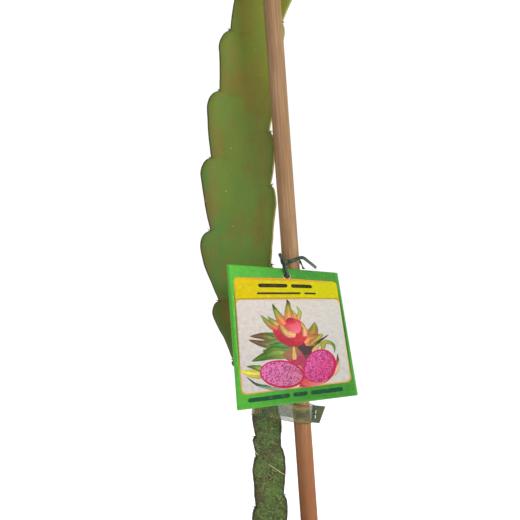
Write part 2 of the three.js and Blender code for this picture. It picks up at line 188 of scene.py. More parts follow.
def joined(name, points, edges, faces):
    """An object made of points in metres and the lines or faces between them."""
    mesh = bpy.data.meshes.new(name)
    mesh.from_pydata([tuple(map(float, point)) for point in points], edges, faces)
    return placed(name, mesh)


def smoothed(piece, crease=None):
    """Smooth shading, but sharp where faces meet at more than the crease, in degrees."""
    piece.data.polygons.foreach_set("use_smooth", [True] * len(piece.data.polygons))
    piece.data.update()
    if crease:
        piece.data.set_sharp_from_angle(angle=math.radians(crease))
    return piece


def solid(name, points, faces, material, crease=None):
    piece = joined(name, points, [], faces)
    piece.data.materials.append(material)
    return smoothed(piece, crease)


def walls(rings, sides):
    """The faces between rings of points that go up a solid, each ring counter-clockwise."""
    return [(low + k, low + (k + 1) % sides, low + sides + (k + 1) % sides, low + sides + k)
            for low in range(0, (rings - 1) * sides, sides) for k in range(sides)]


def tube(name, rings, foot, top, material, crease=None):
    """A solid from rings of points that go up it, closed at both ends with a fan of faces."""
    sides = len(rings[0])
    points = [point for ring in rings for point in ring] + [foot, top]
    faces = walls(len(rings), sides)
    hub = len(points) - 2
    last = hub - sides
    for k in range(sides):
        faces.append((hub, (k + 1) % sides, k))
        faces.append((hub + 1, last + k, last + (k + 1) % sides))
    return solid(name, points, faces, material, crease)


def circle(sides, radius=1, start=0):
    """Points at even steps round a circle, counter-clockwise."""
    angles = [start + 2 * math.pi * k / sides for k in range(sides)]
    return [(radius * math.cos(angle), radius * math.sin(angle)) for angle in angles]


def rounded(corners, steps=4):
    """A profile of (radius, height, rounding) corners with each corner turned into an arc."""
    line = []
    for i, (radius, height, fillet) in enumerate(corners):
        here = Vector((radius, height))
        if not fillet:
            line.append(here)
            continue
        before = Vector(corners[i - 1][:2])
        after = Vector(corners[(i + 1) % len(corners)][:2])
        start = here + (before - here).normalized() * fillet
        end = here + (after - here).normalized() * fillet
        for k in range(steps + 1):
            t = k / steps
            line.append(start.lerp(here, t).lerp(here.lerp(end, t), t))
    return line


def fitted(piece, slot, *nodes):
    """A finished piece takes the place of its plain nodes."""
    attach(piece, "root")
    if nodes:
        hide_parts(*nodes)


def pot_plastic():
    paint = Paint("black_polypropylene")
    dust = paint.noise(55, 5, 0.65).rise(0.5, 0.72)
    splash = paint.noise(420, 3).rise(0.6, 0.7) * paint.noise(30, 2).rise(0.45, 0.62)
    low = paint.node("ShaderNodeSeparateXYZ", {}, {0: paint.here}, out=2)
    soil = (dust * 0.5 + splash * 0.8) * (0.35 + low.rise(0.05, 0.0) + low.rise(0.1, 0.15) * 0.5)
    scuff = paint.noise(60, 6, 0.7, (1, 1, 14)).rise(0.6, 0.75)
    paint.colour = paint.mix(scuff * 0.5, (24, 25, 27), (54, 55, 58))
    paint.coat(soil, (104, 86, 68))
    grain = paint.noise(2600, 2) * 0.5 + paint.noise(180, 4) * 0.5
    return paint.finish(0.5 + soil * 0.35 + scuff * 0.1, grain, 0.00008, Specular_IOR_Level=0.28)


pot_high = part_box("pot")[1]
POT_HEIGHT = pot_high.z / MM
POT_RIM = pot_high.x / MM
POT_TOP = POT_RIM - 3
POT_BASE = 64
POT_WALL = 1.6
POT_SIDES = 144
POT_CREASE = 35
DRAIN_HOLES = 8


def pot_radius(height):
    return POT_BASE + (POT_TOP - POT_BASE) * height / POT_HEIGHT


def pot_profile():
    """From the middle of the underside out, up the wall past its bead to the rim, and down inside."""
    step = POT_HEIGHT - 13
    bead = POT_HEIGHT - 40
    return rounded([
        (0, 1.2, 0), (30, 1.2, 0), (33, 0, 1), (POT_BASE - 1, 0, 1.6), (pot_radius(7), 7, 1),
        (pot_radius(8) + 0.4, 8, 0.3), (pot_radius(bead), bead, 0.4),
        (pot_radius(bead) + 0.8, bead + 0.8, 0.4), (pot_radius(bead) + 0.8, bead + 2.6, 0.4),
        (pot_radius(bead + 3.4), bead + 3.4, 0.4), (pot_radius(step), step, 0.6),
        (POT_RIM - 1.2, step + 0.3, 0.5), (POT_RIM - 0.3, step + 1.3, 0.5), (POT_RIM, POT_HEIGHT - 2.6, 0.6),
        (POT_RIM, POT_HEIGHT, 0.9), (POT_TOP - 0.4, POT_HEIGHT, 0.9),
        (POT_TOP - POT_WALL - 0.2, POT_HEIGHT - 2, 0.8), (pot_radius(step) - POT_WALL - 0.2, step, 0.8),
        (pot_radius(step - 3) - POT_WALL, step - 3, 0.8), (POT_BASE - POT_WALL - 0.2, 2, 1.8), (0, 2.2, 0),
    ])


def drain_bits(material, sides=20):
    """What the drain holes are cut with: round bits up through the floor and out through the heel."""
    up = Vector((0, 0, 1))
    bits = [(Vector((x, y, 0)) * (POT_BASE - 18), up, 4.5, 6) for x, y in circle(DRAIN_HOLES)]
    for x, y in circle(DRAIN_HOLES, 1, math.pi / DRAIN_HOLES):
        out = Vector((x, y, 0))
        bits.append((out * POT_BASE + up * 7, out, 3.2, 5))
    points = []
    faces = []
    for centre, along, radius, half in bits:
        across = along.orthogonal().normalized()
        other = along.cross(across)
        shell = [*walls(2, sides), range(sides)[::-1], range(sides, 2 * sides)]
        faces += [[len(points) + k for k in face] for face in shell]
        points += [(centre + along * end + (across * x + other * y) * radius) * MM
                   for end in (-half, half) for x, y in circle(sides)]
    return solid("drain_bits", points, faces, material)


def drilled(piece, cutter):
    """The piece with the cutter's volume taken out, as a plain mesh."""
    cut = piece.modifiers.new("drain", "BOOLEAN")
    cut.operation = "DIFFERENCE"
    cut.object = cutter
    cut.solver = "EXACT"
    bpy.context.view_layer.update()
    evaluated = piece.evaluated_get(bpy.context.evaluated_depsgraph_get())
    mesh = bpy.data.meshes.new_from_object(evaluated)
    piece.modifiers.clear()
    piece.data = mesh
    bpy.data.objects.remove(cutter)
    return piece


black = pot_plastic()
under, *profile, inside = pot_profile()
rings = [[(x, y, height * MM) for x, y in circle(POT_SIDES, radius * MM)] for radius, height in profile]
pot = tube("pot_shell", rings, (0, 0, under.y * MM), (0, 0, inside.y * MM), black, POT_CREASE)
fitted(smoothed(drilled(pot, drain_bits(black)), POT_CREASE), "pot", "pot")


# ---- Potting mix -----------------------------------------------------------------------------
# Peat and composted bark with white perlite, filled to 18 mm below the rim and firmed a little
# round the stem. It settles lowest at the wall, and loose crumbs and chips lie on top.

class Recipe(Wiring):
    """A Geometry Nodes tree with named sizes. It is run once, and leaves a plain mesh."""

    def __init__(self, name, **sizes):
        super().__init__(bpy.data.node_groups.new(name, "GeometryNodeTree"))
        self.name = name
        self.sizes = sizes
        self.keys = {}
        side = self.tree.interface
        side.new_socket("Geometry", in_out="INPUT", socket_type="NodeSocketGeometry")
        side.new_socket("Geometry", in_out="OUTPUT", socket_type="NodeSocketGeometry")
        for label, size in sizes.items():
            kind = "NodeSocketObject" if isinstance(size, bpy.types.Object) else "NodeSocketFloat"
            self.keys[label] = side.new_socket(label, in_out="INPUT", socket_type=kind).identifier
        self.entry = self.tree.nodes.new("NodeGroupInput")

    def given(self, label="Geometry"):
        return Value(self, self.entry.outputs[label])

    def kept(self, name, kind="FLOAT"):
        settings = {"data_type": kind}
        return self.node("GeometryNodeInputNamedAttribute", settings, {"Name": name}, out="Attribute")

    def chance(self, low, high, seed):
        sockets = {2: low, 3: high, "Seed": seed}
        return self.node("FunctionNodeRandomValue", {"data_type": "FLOAT"}, sockets, out=1)

    def shape(self, label):
        return self.node("GeometryNodeObjectInfo", {}, {"Object": self.given(label)}, out="Geometry")

    def copies(self, points, shape, turn, size):
        sockets = {"Points": points, "Instance": shape, "Rotation": turn, "Scale": size}
        return self.node("GeometryNodeInstanceOnPoints", {}, sockets)

    def run(self, base, result, material, *used_up):
        whole = self.node("GeometryNodeRealizeInstances", {}, {0: result})
        painted = self.node("GeometryNodeSetMaterial", {}, {"Geometry": whole, "Material": material})
        self.put(painted, self.tree.nodes.new("NodeGroupOutput").inputs[0])
        grown = base.modifiers.new(self.name, "NODES")
        grown.node_group = self.tree
        for label, size in self.sizes.items():
            grown[self.keys[label]] = size
        bpy.context.view_layer.update()
        evaluated = base.evaluated_get(bpy.context.evaluated_depsgraph_get())
        mesh = bpy.data.meshes.new_from_object(evaluated)
        base.modifiers.remove(grown)
        for thing in used_up:
            bpy.data.objects.remove(thing)
        return placed(self.name, mesh)


def scattered(name, ground, chunk, per_area, sizes, seed, material, tumble=None):
    """Copies of a chunk strewn over the ground at a density per square metre. Each is tumbled by up
    to the angles given, or else lies flat and is turned its own way."""
    recipe = Recipe(name, Density=per_area, Smallest=sizes[0], Largest=sizes[1], Chunk=chunk)
    sockets = {"Mesh": recipe.given(), "Density": recipe.given("Density"), "Seed": seed}
    points = recipe.node("GeometryNodeDistributePointsOnFaces", {}, sockets)
    if tumble:
        sockets = {1: tumble, "Seed": seed + 1}
        turn = recipe.node("FunctionNodeRandomValue", {"data_type": "FLOAT_VECTOR"}, sockets)
    else:
        spin = recipe.node("ShaderNodeCombineXYZ", {}, {2: recipe.chance(0.0, 6.283, seed + 1)})
        sockets = {0: points.beside("Rotation"), 1: spin}
        turn = recipe.node("FunctionNodeRotateRotation", {"rotation_space": "LOCAL"}, sockets)
    size = recipe.chance(recipe.given("Smallest"), recipe.given("Largest"), seed + 2)
    return recipe.run(ground, recipe.copies(points, recipe.shape("Chunk"), turn, size), material, chunk)


def chunk_shape(name, squash, rough, seed):
    """A small lump about 1 unit across, made from a few facets pushed in and out."""
    draw = random.Random(seed)
    shape = bmesh.new()
    bmesh.ops.create_icosphere(shape, subdivisions=1, radius=0.5)
    for vertex in shape.verts:
        vertex.co *= draw.uniform(1 - rough, 1 + rough)
        vertex.co = Vector(c * s for c, s in zip(vertex.co, squash))
    mesh = bpy.data.meshes.new(name)
    shape.to_mesh(mesh)
    shape.free()
    return placed(name, mesh)


MIX_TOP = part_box("potting_mix")[1].z / MM
STEM_FOOT = (-12.8, 0)
STAKE_FOOT = (18.2, -5.5)
MIX_SIDES = 150
MIX_RINGS = 52
MIX_GRID = 2.5


def mix_height(x, y):
    """The surface in millimetres: a slow dip to the wall, lumps, and a collar round what is planted."""
    lumps = noise.fractal(Vector((x / 9, y / 9, 4.1)), 0.8, 2.2, 4) * 1.3
    collar = 0
    for foot, radius in ((STEM_FOOT, 13), (STAKE_FOOT, 6)):
        away = max(0, math.hypot(x - foot[0], y - foot[1]) - radius)
        collar += 1.6 * math.exp(-away * away / 40)
    dip = 2.6 * (math.hypot(x, y) / 78) ** 2
    return MIX_TOP - 1.2 - dip + lumps + collar


def mix_body(material):
    """The whole filling: rings from the middle of the surface out, down the wall and under."""
    wall = pot_radius(MIX_TOP) - POT_WALL - 0.4
    points = [(0, 0, mix_height(0, 0))]
    for ring in range(1, MIX_RINGS + 1):
        points += [(x, y, mix_height(x, y)) for x, y in circle(MIX_SIDES, wall * ring / MIX_RINGS)]
    for radius, height in ((pot_radius(10) - POT_WALL - 0.8, 10), (pot_radius(3) - POT_WALL - 3, 2.5)):
        points += [(x, y, height) for x, y in circle(MIX_SIDES, radius)]
    points.append((0, 0, 2.5))
    faces = [(0, 1 + k, 1 + (k + 1) % MIX_SIDES) for k in range(MIX_SIDES)]
    faces += [(a + 1, d + 1, c + 1, b + 1) for a, b, c, d in walls(MIX_RINGS + 2, MIX_SIDES)]
    hub = len(points) - 1
    last = hub - MIX_SIDES
    faces += [(last + k, hub, last + (k + 1) % MIX_SIDES) for k in range(MIX_SIDES)]
    return solid("potting_mix_bed", [[c * MM for c in point] for point in points], faces, material)


def mix_ground(material):
    """The part of the surface that crumbs fall on: clear of the stem, the stake and the wall."""
    reach = pot_radius(MIX_TOP) - POT_WALL - 2
    count = int(reach / MIX_GRID) + 1
    across = 2 * count + 1
    lines = [i * MIX_GRID for i in range(-count, count + 1)]
    points = [(x * MM, y * MM, (mix_height(x, y) + 0.1) * MM) for x in lines for y in lines]
    faces = []
    for i in range(across - 1):
        for j in range(across - 1):
            x, y = ((k - count + 0.5) * MIX_GRID for k in (i, j))
            clear = all(math.hypot(x - foot[0], y - foot[1]) > gap
                        for foot, gap in ((STEM_FOOT, 14), (STAKE_FOOT, 8)))
            if math.hypot(x, y) < reach and clear:
                low = i * across + j
                faces.append((low, low + across, low + across + 1, low + 1))
    return solid("mix_ground", points, faces, material)


def peat(name, dark, light, scale):
    paint = Paint(name)
    fine = paint.noise(scale, 6, 0.7)
    fibre = paint.noise(scale * 0.6, 4, 0.6, (1, 6, 1)).rise(0.55, 0.75)
    paint.colour = paint.mix(fine.rise(0.35, 0.7), dark, light)
    paint.coat(fibre * 0.45, (126, 92, 58))
    return paint.finish(0.86 + fine * 0.12, fine + paint.noise(scale * 4, 4), 0.0006)


def perlite():
    paint = Paint("perlite")
    dirt = paint.noise(260, 4).rise(0.5, 0.75)
    paint.colour = paint.mix(dirt * 0.6, (226, 223, 214), (158, 138, 112))
    return paint.finish(0.9 - dirt * 0.1, paint.cells(1500), 0.0004)


def bark():
    paint = Paint("composted_bark")
    grain = paint.noise(240, 5, 0.65, (1, 1, 5))
    paint.colour = paint.mix(grain.rise(0.35, 0.68), (58, 38, 25), (120, 82, 54))
    return paint.finish(0.78 + grain * 0.15, grain, 0.0006)


damp_peat = peat("peat", (34, 25, 19), (72, 53, 39), 420)
fitted(mix_body(damp_peat), "potting_mix", "potting_mix")
ground = mix_ground(damp_peat)
dry_peat = peat("peat_crumb", (40, 29, 21), (88, 64, 45), 700)
any_way = (6.28, 6.28, 6.28)
lying = (0.35, 0.35, 6.28)
for name, squash, rough, density, sizes, seed, finish, tumble in (
    ("peat_crumbs", (1, 0.85, 0.75), 0.28, 170000, (0.0012, 0.0052), 11, dry_peat, any_way),
    ("perlite_grains", (1, 0.9, 0.8), 0.16, 15000, (0.0015, 0.0042), 21, perlite(), any_way),
    ("bark_chips", (1.5, 0.8, 0.28), 0.22, 10000, (0.005, 0.0115), 31, bark(), lying),
):
    lump = chunk_shape(name + "_shape", squash, rough, seed)
    fitted(scattered(name, ground, lump, density, sizes, seed, finish, tumble), "potting_mix")
bpy.data.objects.remove(ground)


# ---- Old stem --------------------------------------------------------------------------------
# The rooted cutting: three thick ribs round a woody core, two or more years old. Its skin has
# gone corky and dull, and fine dry fibres cling to it. Short spines sit in each notch of a rib.

OLD_STEM = {
    "axis": [
        (-12, 0, -52), (-12.8, 0, 0), (-14, 0, 72), (-14.5, 0, 108), (-16.3, 0, 138), (-17.2, 0, 162),
    ],
    "reach": [(0, 11), (30, 12.6), (125, 13.4), (150, 12.8), (172, 11.3), (214, 9.6)],
    "core": [(0, 5.5), (60, 6.5)],
    "edge": 2.4,
    "middle": 4.6,
    "tip": 3,
    "ribs": [
        (-26, 0.2, [0, 34, 68, 103, 138, 171, 195, 236]),
        (88, 0.24, [0, 20, 54, 90, 122, 155, 190, 222]),
        (206, 0.2, [0, 30, 64, 98, 130, 165, 180, 196, 222]),
    ],
}


def swing(a, b, c, d, t):
    """A point between b and c on the smooth path through all four, which doesn't overshoot at close ones."""
    gaps = [np.linalg.norm(q - p, axis=-1, keepdims=True) for p, q in ((a, b), (b, c), (c, d))]
    first, middle, last = (np.sqrt(np.maximum(gap, 1e-9)) for gap in gaps)
    leave = ((b - a) / first - (c - a) / (first + middle) + (c - b) / middle) * middle
    arrive = ((c - b) / middle - (d - b) / (middle + last) + (d - c) / last) * middle
    return (b * (2 * t**3 - 3 * t**2 + 1) + leave * (t**3 - 2 * t**2 + t)
            + c * (3 * t**2 - 2 * t**3) + arrive * (t**3 - t**2))


def between(points, steps=40):
    """The smooth path through points, with many points on it."""
    points = np.array([list(p) for p in points], float)
    points = np.vstack([points[0] * 2 - points[1], points, points[-1] * 2 - points[-2]])
    line = [swing(*points[i:i + 4], k / steps) for i in range(len(points) - 3) for k in range(steps)]
    return np.array([*line, points[-2]])


def spaced(line, count):
    """Points and directions at equal steps along a line, and its length."""
    gone = np.concatenate([[0], np.cumsum(np.linalg.norm(np.diff(line, axis=0), axis=1))])
    places = np.linspace(0, gone[-1], count)
    points = np.stack([np.interp(places, gone, line[:, k]) for k in range(3)], 1)
    ahead = np.gradient(points, axis=0)
    return points, ahead / np.linalg.norm(ahead, axis=1)[:, None], gone[-1]


def along(pairs, place):
    """A size that changes smoothly between the marks of (place, size) pairs."""
    marks, sizes = (np.array(column, float) for column in zip(*pairs))
    spot = np.interp(place, marks, np.arange(len(marks)))
    low = np.minimum(np.floor(spot).astype(int), len(marks) - 2)
    t = spot - low
    return sizes[low] + (sizes[low + 1] - sizes[low]) * t * t * (3 - 2 * t)


def notch(cushions, place):
    """How far the rib's edge is drawn in: 1 at a spine cushion, 0 at the shoulder below the next."""
    cushions = np.array(cushions, float)
    after = np.clip(np.searchsorted(cushions, place, side="right"), 1, len(cushions) - 1)
    t = np.clip((place - cushions[after - 1]) / (cushions[after] - cushions[after - 1]), 0, 1)
    rise = (1 - np.minimum(t / 0.77, 1)) ** 1.1
    turn = np.clip((t - 0.77) / 0.23, 0, 1)
    drawn = np.where(t < 0.77, rise, 1 - np.sqrt(1 - turn**2))
    return np.where((place < cushions[0]) | (place > cushions[-1]), 0, drawn)


SKIN_STEPS = 6


class Stem:
    """A three-ribbed stem: where its skin lies at any place along it and round it."""

    def __init__(self, sizes, rings):
        self.sizes = sizes
        points, self.ahead, self.length = spaced(between(sizes["axis"]), rings)
        self.points = points + np.array([0, 0, MIX_TOP])
        self.places = np.linspace(0, self.length, rings)
        side = np.array([1.0, 0, 0]) - self.ahead * self.ahead[:, :1]
        self.side = side / np.linalg.norm(side, axis=1)[:, None]
        self.back = np.cross(self.ahead, self.side)

    def reach(self, rib, place):
        """The rib edge's distance from the axis, and the core's, at a place along the stem."""
        sizes = self.sizes
        past = np.clip((place - self.length + sizes["tip"]) / (sizes["tip"] + 0.3), 0, 1)
        closing = np.sqrt(1 - past**2)
        core = along(sizes["core"], place) * closing
        angle, depth, cushions = sizes["ribs"][rib]
        edge = along(sizes["reach"], place) * closing * (1 - depth * notch(cushions, place))
        return np.maximum(edge, core), core

    def corners(self, place):
        """The section's 18 corners: six for each rib, from its left flank to the valley after it."""
        sizes = self.sizes
        found = []
        for i, (degrees, depth, cushions) in enumerate(sizes["ribs"]):
            after = sizes["ribs"][(i + 1) % 3][0] + (360 if i == 2 else 0)
            angle = math.radians(degrees)
            cosine, sine = math.cos(angle), math.sin(angle)
            reach, core = self.reach(i, place)
            middle = np.minimum(sizes["middle"], 0.44 * reach)
            edge = np.minimum(0.85 * sizes["edge"], 0.77 * reach)
            flanks = ((0.55, -middle), (0.965, -edge), (1, 0 * edge), (0.965, edge), (0.55, middle))
            for share, half in flanks:
                away = share * reach
                found.append((away * cosine - half * sine, away * sine + half * cosine))
            valley = (angle + math.radians(after)) / 2
            found.append((core * math.cos(valley), core * math.sin(valley)))
        return np.moveaxis(np.array(found), 1, 2)

    def frame(self, place):
        """The axis point and the three directions of the section nearest to a place."""
        last = len(self.points) - 1
        row = int(round(float(np.clip(place / self.length * last, 0, last))))
        return self.points[row], self.side[row], self.back[row], self.ahead[row]

    def skin(self, name, relief, material):
        """The skin mesh, with the marks that its finish reads. The section is a closed smooth curve."""
        corners = self.corners(self.places)
        count = len(corners)
        around = []
        edges = []
        left_shade = []
        for j in range(count):
            near = [corners[(j + k) % count] for k in (-1, 0, 1, 2)]
            for k in range(SKIN_STEPS):
                t = k / SKIN_STEPS
                around.append(swing(*near, t))
                off = abs((j + t) % 6 - 2)
                edges.append(max(0, 1 - min(off, 6 - off) / 3))
                # How far a point lies on the left rib's flank. The young stem's finish darkens that flank
                # with it as painted shade.
                off = abs(j + t - 14)
                share = max(0, 1 - min(off, 18 - off) / 6)
                left_shade.append(share * share * (3 - 2 * share))
        around = np.stack(around, 1)
        rings, sides = around.shape[:2]
        sideways = self.side[:, None] * around[..., :1]
        backwards = self.back[:, None] * around[..., 1:]
        place = self.points[:, None] + sideways + backwards
        outward = sideways + backwards
        outward /= np.maximum(np.linalg.norm(outward, axis=2), 1e-6)[..., None]
        marks = {"edge": np.tile(edges, (rings, 1)), "left": np.tile(left_shade, (rings, 1)),
                 "grown": np.tile(self.places[:, None], (1, sides))}
        push = np.array([[relief(*at) for at in zip(*row)] for row in zip(place, marks["edge"])])
        skin = (place + outward * push[..., None]) * MM
        piece = tube(name, skin, self.points[0] * MM, self.points[-1] * MM, material)
        marks["grown"] = marks["grown"] * MM
        mark(piece, **{key: [*found.flat, found[0, 0], found[-1, 0]] for key, found in marks.items()})
        return piece


def mark(piece, **found):
    """Keeps a number or a direction for each point of a piece."""
    for key, values in found.items():
        values = np.array(values, np.float32)
        kind, field = ("FLOAT", "value") if values.ndim == 1 else ("FLOAT_VECTOR", "vector")
        piece.data.attributes.new(key, kind, "POINT").data.foreach_set(field, values.ravel())


def standing(name, spots, kind, width, length, material):
    """Spines or tufts of felt, one on each spot: a (point in mm, direction, size) each."""
    points, ways, sizes = zip(*spots)
    base = joined(name + "_spots", [Vector(point) * MM for point in points], [], [])
    mark(base, out=[tuple(way) for way in ways], size=sizes)
    recipe = Recipe(name, Width=width * MM, Length=length * MM)
    half = recipe.given("Width") * 0.5
    if kind == "spine":
        sockets = {"Vertices": 7, "Side Segments": 3, "Radius Top": 0.00004, "Radius Bottom": half,
                   "Depth": recipe.given("Length")}
        shape = recipe.node("GeometryNodeMeshCone", {"fill_type": "TRIANGLE_FAN"}, sockets)
    else:
        ball = recipe.node("GeometryNodeMeshIcoSphere", {}, {"Radius": half, "Subdivisions": 2})
        flat = recipe.given("Length") * (1 / (width * MM))
        scale = recipe.node("ShaderNodeCombineXYZ", {}, {0: 1.0, 1: 1.0, 2: flat})
        shape = recipe.node("GeometryNodeTransform", {}, {"Geometry": ball, "Scale": scale})
    out = {"Vector": recipe.kept("out", "FLOAT_VECTOR")}
    turn = recipe.node("FunctionNodeAlignRotationToVector", {"axis": "Z"}, out)
    stood = recipe.copies(recipe.given(), shape, turn, recipe.kept("size"))
    return recipe.run(base, stood, material, base)


def areoles(stem, rib):
    """Where the spine cushions are on a rib: (point, outward direction, the way it grew) each."""
    degrees, depth, cushions = stem.sizes["ribs"][rib]
    cosine, sine = math.cos(math.radians(degrees)), math.sin(math.radians(degrees))
    found = []
    for place in cushions:
        if 3 < place < stem.length - 4:
            reach, core = stem.reach(rib, np.array([float(place)]))
            away = float(reach[0]) - 0.2
            middle, side, back, ahead = stem.frame(place)
            point = middle + side * (away * cosine) + back * (away * sine)
            found.append((point, Vector(side * cosine + back * sine), Vector(ahead)))
    return found


def spine_set(stem, count, spread, lean, seed, above):
    """Several spines to each cushion, fanned out and pointing a little upwards, and its felt."""
    draw = random.Random(seed)
    spines = []
    felt = []
    for point, out, ahead in [spot for rib in range(3) for spot in areoles(stem, rib)]:
        if point[2] < above:
            continue
        point = Vector(point)
        across = out.cross(ahead).normalized()
        for k in range(count):
            fan = (k - (count - 1) / 2) * spread / (count - 1)
            way = out + ahead * (lean + draw.uniform(-0.4, 0.4)) + across * (fan + draw.uniform(-0.15, 0.15))
            start = point + across * fan * 0.5 + ahead * draw.uniform(-0.3, 0.3)
            spines.append((start, way.normalized(), draw.uniform(0.6, 1.15)))
        for k in range(3):
            start = point + ahead * draw.uniform(-0.5, 0.7) + across * draw.uniform(-0.4, 0.4)
            felt.append((start, (out + ahead * 0.5).normalized(), draw.uniform(0.5, 1.0)))
    return spines, felt


def horn(name, dark, light):
    paint = Paint(name)
    streak = paint.noise(900, 3)
    paint.colour = paint.mix(streak.rise(0.35, 0.7), dark, light)
    return paint.finish(0.45 + streak * 0.2, streak, 0.0001)


def felt_wool():
    paint = Paint("areole_felt")
    tuft = paint.noise(2400, 4, 0.7)
    paint.colour = paint.mix(tuft.rise(0.35, 0.7), (176, 168, 146), (236, 233, 222))
    return paint.finish(0.95, tuft, 0.0003, Sheen_Weight=0.4)


def old_skin():
    paint = Paint("old_stem_skin")
    edge = paint.attribute("edge")
    grown = paint.attribute("grown")
    cork = paint.noise(150, 6, 0.72)
    tall = paint.noise(60, 5, 0.62, (1, 1, 0.45))
    paint.colour = paint.mix(tall.rise(0.35, 0.62), (42, 82, 34), (80, 108, 44))
    paint.coat(paint.noise(42, 4, 0.6).rise(0.46, 0.6), (74, 68, 36))
    patch = (cork + edge * 0.12 + grown * 0.35).rise(0.58, 0.72)
    brown = paint.mix(paint.noise(700, 4).rise(0.4, 0.65), (62, 48, 28), (104, 86, 54))
    paint.coat(patch * 0.85, brown)
    sockets = {"Vector": paint.here, "Scale": 230.0, "Detail": 3.0}
    drift = paint.node("ShaderNodeTexNoise", {}, sockets, out=1)
    drift = paint.node("ShaderNodeVectorMath", {"operation": "SCALE"}, {0: drift, 3: 0.012})
    bent = paint.node("ShaderNodeVectorMath", {"operation": "ADD"}, {0: paint.here, 1: drift})
    to_edge = {"feature": "DISTANCE_TO_EDGE"}
    web, fine = (paint.node("ShaderNodeTexVoronoi", to_edge, {"Vector": bent, "Scale": scale})
                 for scale in (260.0, 520.0))
    cover = paint.noise(75, 3).rise(0.4, 0.58)
    threads = (web.rise(0.1, 0.02) + fine.rise(0.14, 0.03) * 0.6) * cover
    paint.coat(threads * 0.62, (140, 162, 92))
    paint.coat(paint.noise(1300, 3, 0.6).rise(0.58, 0.7) * 0.3, (140, 136, 92))
    paint.coat(edge.rise(0.4, 0.05) * grown.rise(0.1, 0.075) * 0.6, (60, 112, 58))
    pit = paint.noise(620, 4, 0.65).rise(0.5, 0.38)
    paint.coat(pit * 0.55, (34, 40, 20))
    margin = (edge + (cork - 0.5) * 0.3).rise(0.62, 0.86)
    paint.coat(margin * 0.75, (66, 50, 30))
    height = cork * 0.6 + threads * 0.6 + paint.noise(1500, 4) * 0.25 + patch * 0.3 - pit * 0.4
    return paint.finish(0.6 + patch * 0.2, height, 0.0008, Specular_IOR_Level=0.35)


def old_relief(point, edge):
    knobs = noise.fractal(Vector(point) * 0.11, 0.8, 2.1, 4)
    pits = noise.noise(Vector(point) * 0.55)
    return 0.42 * knobs + 0.16 * pits + 0.2 * noise.noise(Vector(point) * 0.25) * edge


old_stem = Stem(OLD_STEM, 300)
old_skin_piece = old_stem.skin("old_stem_skin", old_relief, old_skin())
fitted(old_skin_piece, "old_stem", "old_stem")
wool = felt_wool()
spines, tufts = spine_set(old_stem, 4, 1.6, 0.35, 5, MIX_TOP + 2)
old_horn = horn("old_spine", (34, 26, 19), (92, 74, 52))
fitted(standing("old_stem_spines", spines, "spine", 0.8, 3.2, old_horn), "old_stem")
fitted(standing("old_stem_felt", tufts, "tuft", 1.3, 0.9, wool), "old_stem")


def fibre_shape(name, bow, thick, steps=6):
    """A fine dry fibre 1 unit long on its side: a three-sided thread that bows down at both ends."""
    points = []
    for k in range(steps + 1):
        t = k / steps - 0.5
        width = thick * (1.1 - 1.6 * abs(t))
        side = bow * math.sin(5 * t)
        height = 0.05 - 4 * bow * 0.5 * t * t
        points += [(t, x + side, height + y) for x, y in circle(3, width)]
    ends = [(2, 1, 0), (steps * 3, steps * 3 + 1, steps * 3 + 2)]
    return joined(name, points, [], walls(steps + 1, 3) + ends)


straw = horn("dry_fibre", (150, 138, 100), (206, 196, 158))
thread = fibre_shape("fibre_shape", 0.12, 0.0085)
strands = scattered("old_stem_fibres", old_skin_piece, thread, 42000, (0.003, 0.0075), 41, straw)
fitted(strands, "old_stem")


def closed_loop(name, points):
    """A closed outline in millimetres, as an object that a sweep takes its section from."""
    edges = [(k, (k + 1) % len(points)) for k in range(len(points))]
    return joined(name, [(x * MM, y * MM, 0) for x, y in points], edges, [])


def swept(name, routes, section, material, size=1.0):
    """A section carried along each route, a list of (point, the way its flat side faces)."""
    points = []
    edges = []
    facing = []
    for route in routes:
        line = between([point for point, way in route], 10)
        ways = np.array([list(Vector(way).normalized()) for point, way in route])
        spots = np.minimum(np.arange(len(line)) / 10, len(route) - 1)
        turned = np.stack([np.interp(spots, np.arange(len(route)), ways[:, k]) for k in range(3)], 1)
        edges += [(len(points) + k, len(points) + k + 1) for k in range(len(line) - 1)]
        points += [point * MM for point in line]
        facing += [way / np.linalg.norm(way) for way in turned]
    base = joined(name + "_line", points, edges, [])
    mark(base, facing=facing)
    recipe = Recipe(name, Size=size, Section=section)
    line = recipe.node("GeometryNodeMeshToCurve", {}, {"Mesh": recipe.given()})
    sockets = {"Curve": line, "Normal": recipe.kept("facing", "FLOAT_VECTOR")}
    line = recipe.node("GeometryNodeSetCurveNormal", {"mode": "FREE"}, sockets)
    loop = recipe.node("GeometryNodeMeshToCurve", {}, {"Mesh": recipe.shape("Section")})
    scale = recipe.node("ShaderNodeCombineXYZ", {}, {k: recipe.given("Size") for k in range(3)})
    loop = recipe.node("GeometryNodeTransform", {}, {"Geometry": loop, "Scale": scale})
    sockets = {"Curve": line, "Profile Curve": loop, "Fill Caps": True}
    whole = recipe.node("GeometryNodeCurveToMesh", {}, sockets)
    whole = recipe.node("GeometryNodeSetShadeSmooth", {}, {0: whole})
    return recipe.run(base, whole, material, base, section)


front = (0, -1, 0)
loose_fibres = [[((x, y, MIX_TOP + z), front) for x, y, z in line] for line in (
    [(-15.2, -8.2, 108.9), (-11, -8.6, 106.4), (-7.4, -8.8, 104), (-3.9, -8, 101.6)],
    [(-24.6, -6.9, 117.6), (-23.4, -7.4, 116.4), (-22.2, -7.8, 115.4)],
)]
fibre_section = closed_loop("fibre_section", [(0.2, 0), (0, 0.16), (-0.2, 0), (0, -0.16)])
pale_straw = horn("pale_straw", (206, 190, 130), (236, 224, 176))
fitted(swept("straw_fibres", loose_fibres, fibre_section, pale_straw), "old_stem")


# ---- Young stem ------------------------------------------------------------------------------
# This year's shoot, about 43 cm long: three thin wings with scalloped edges, glossy green with
# bronze flushes. It narrows to a neck where it grew out of the old stem, and its edges are horny.

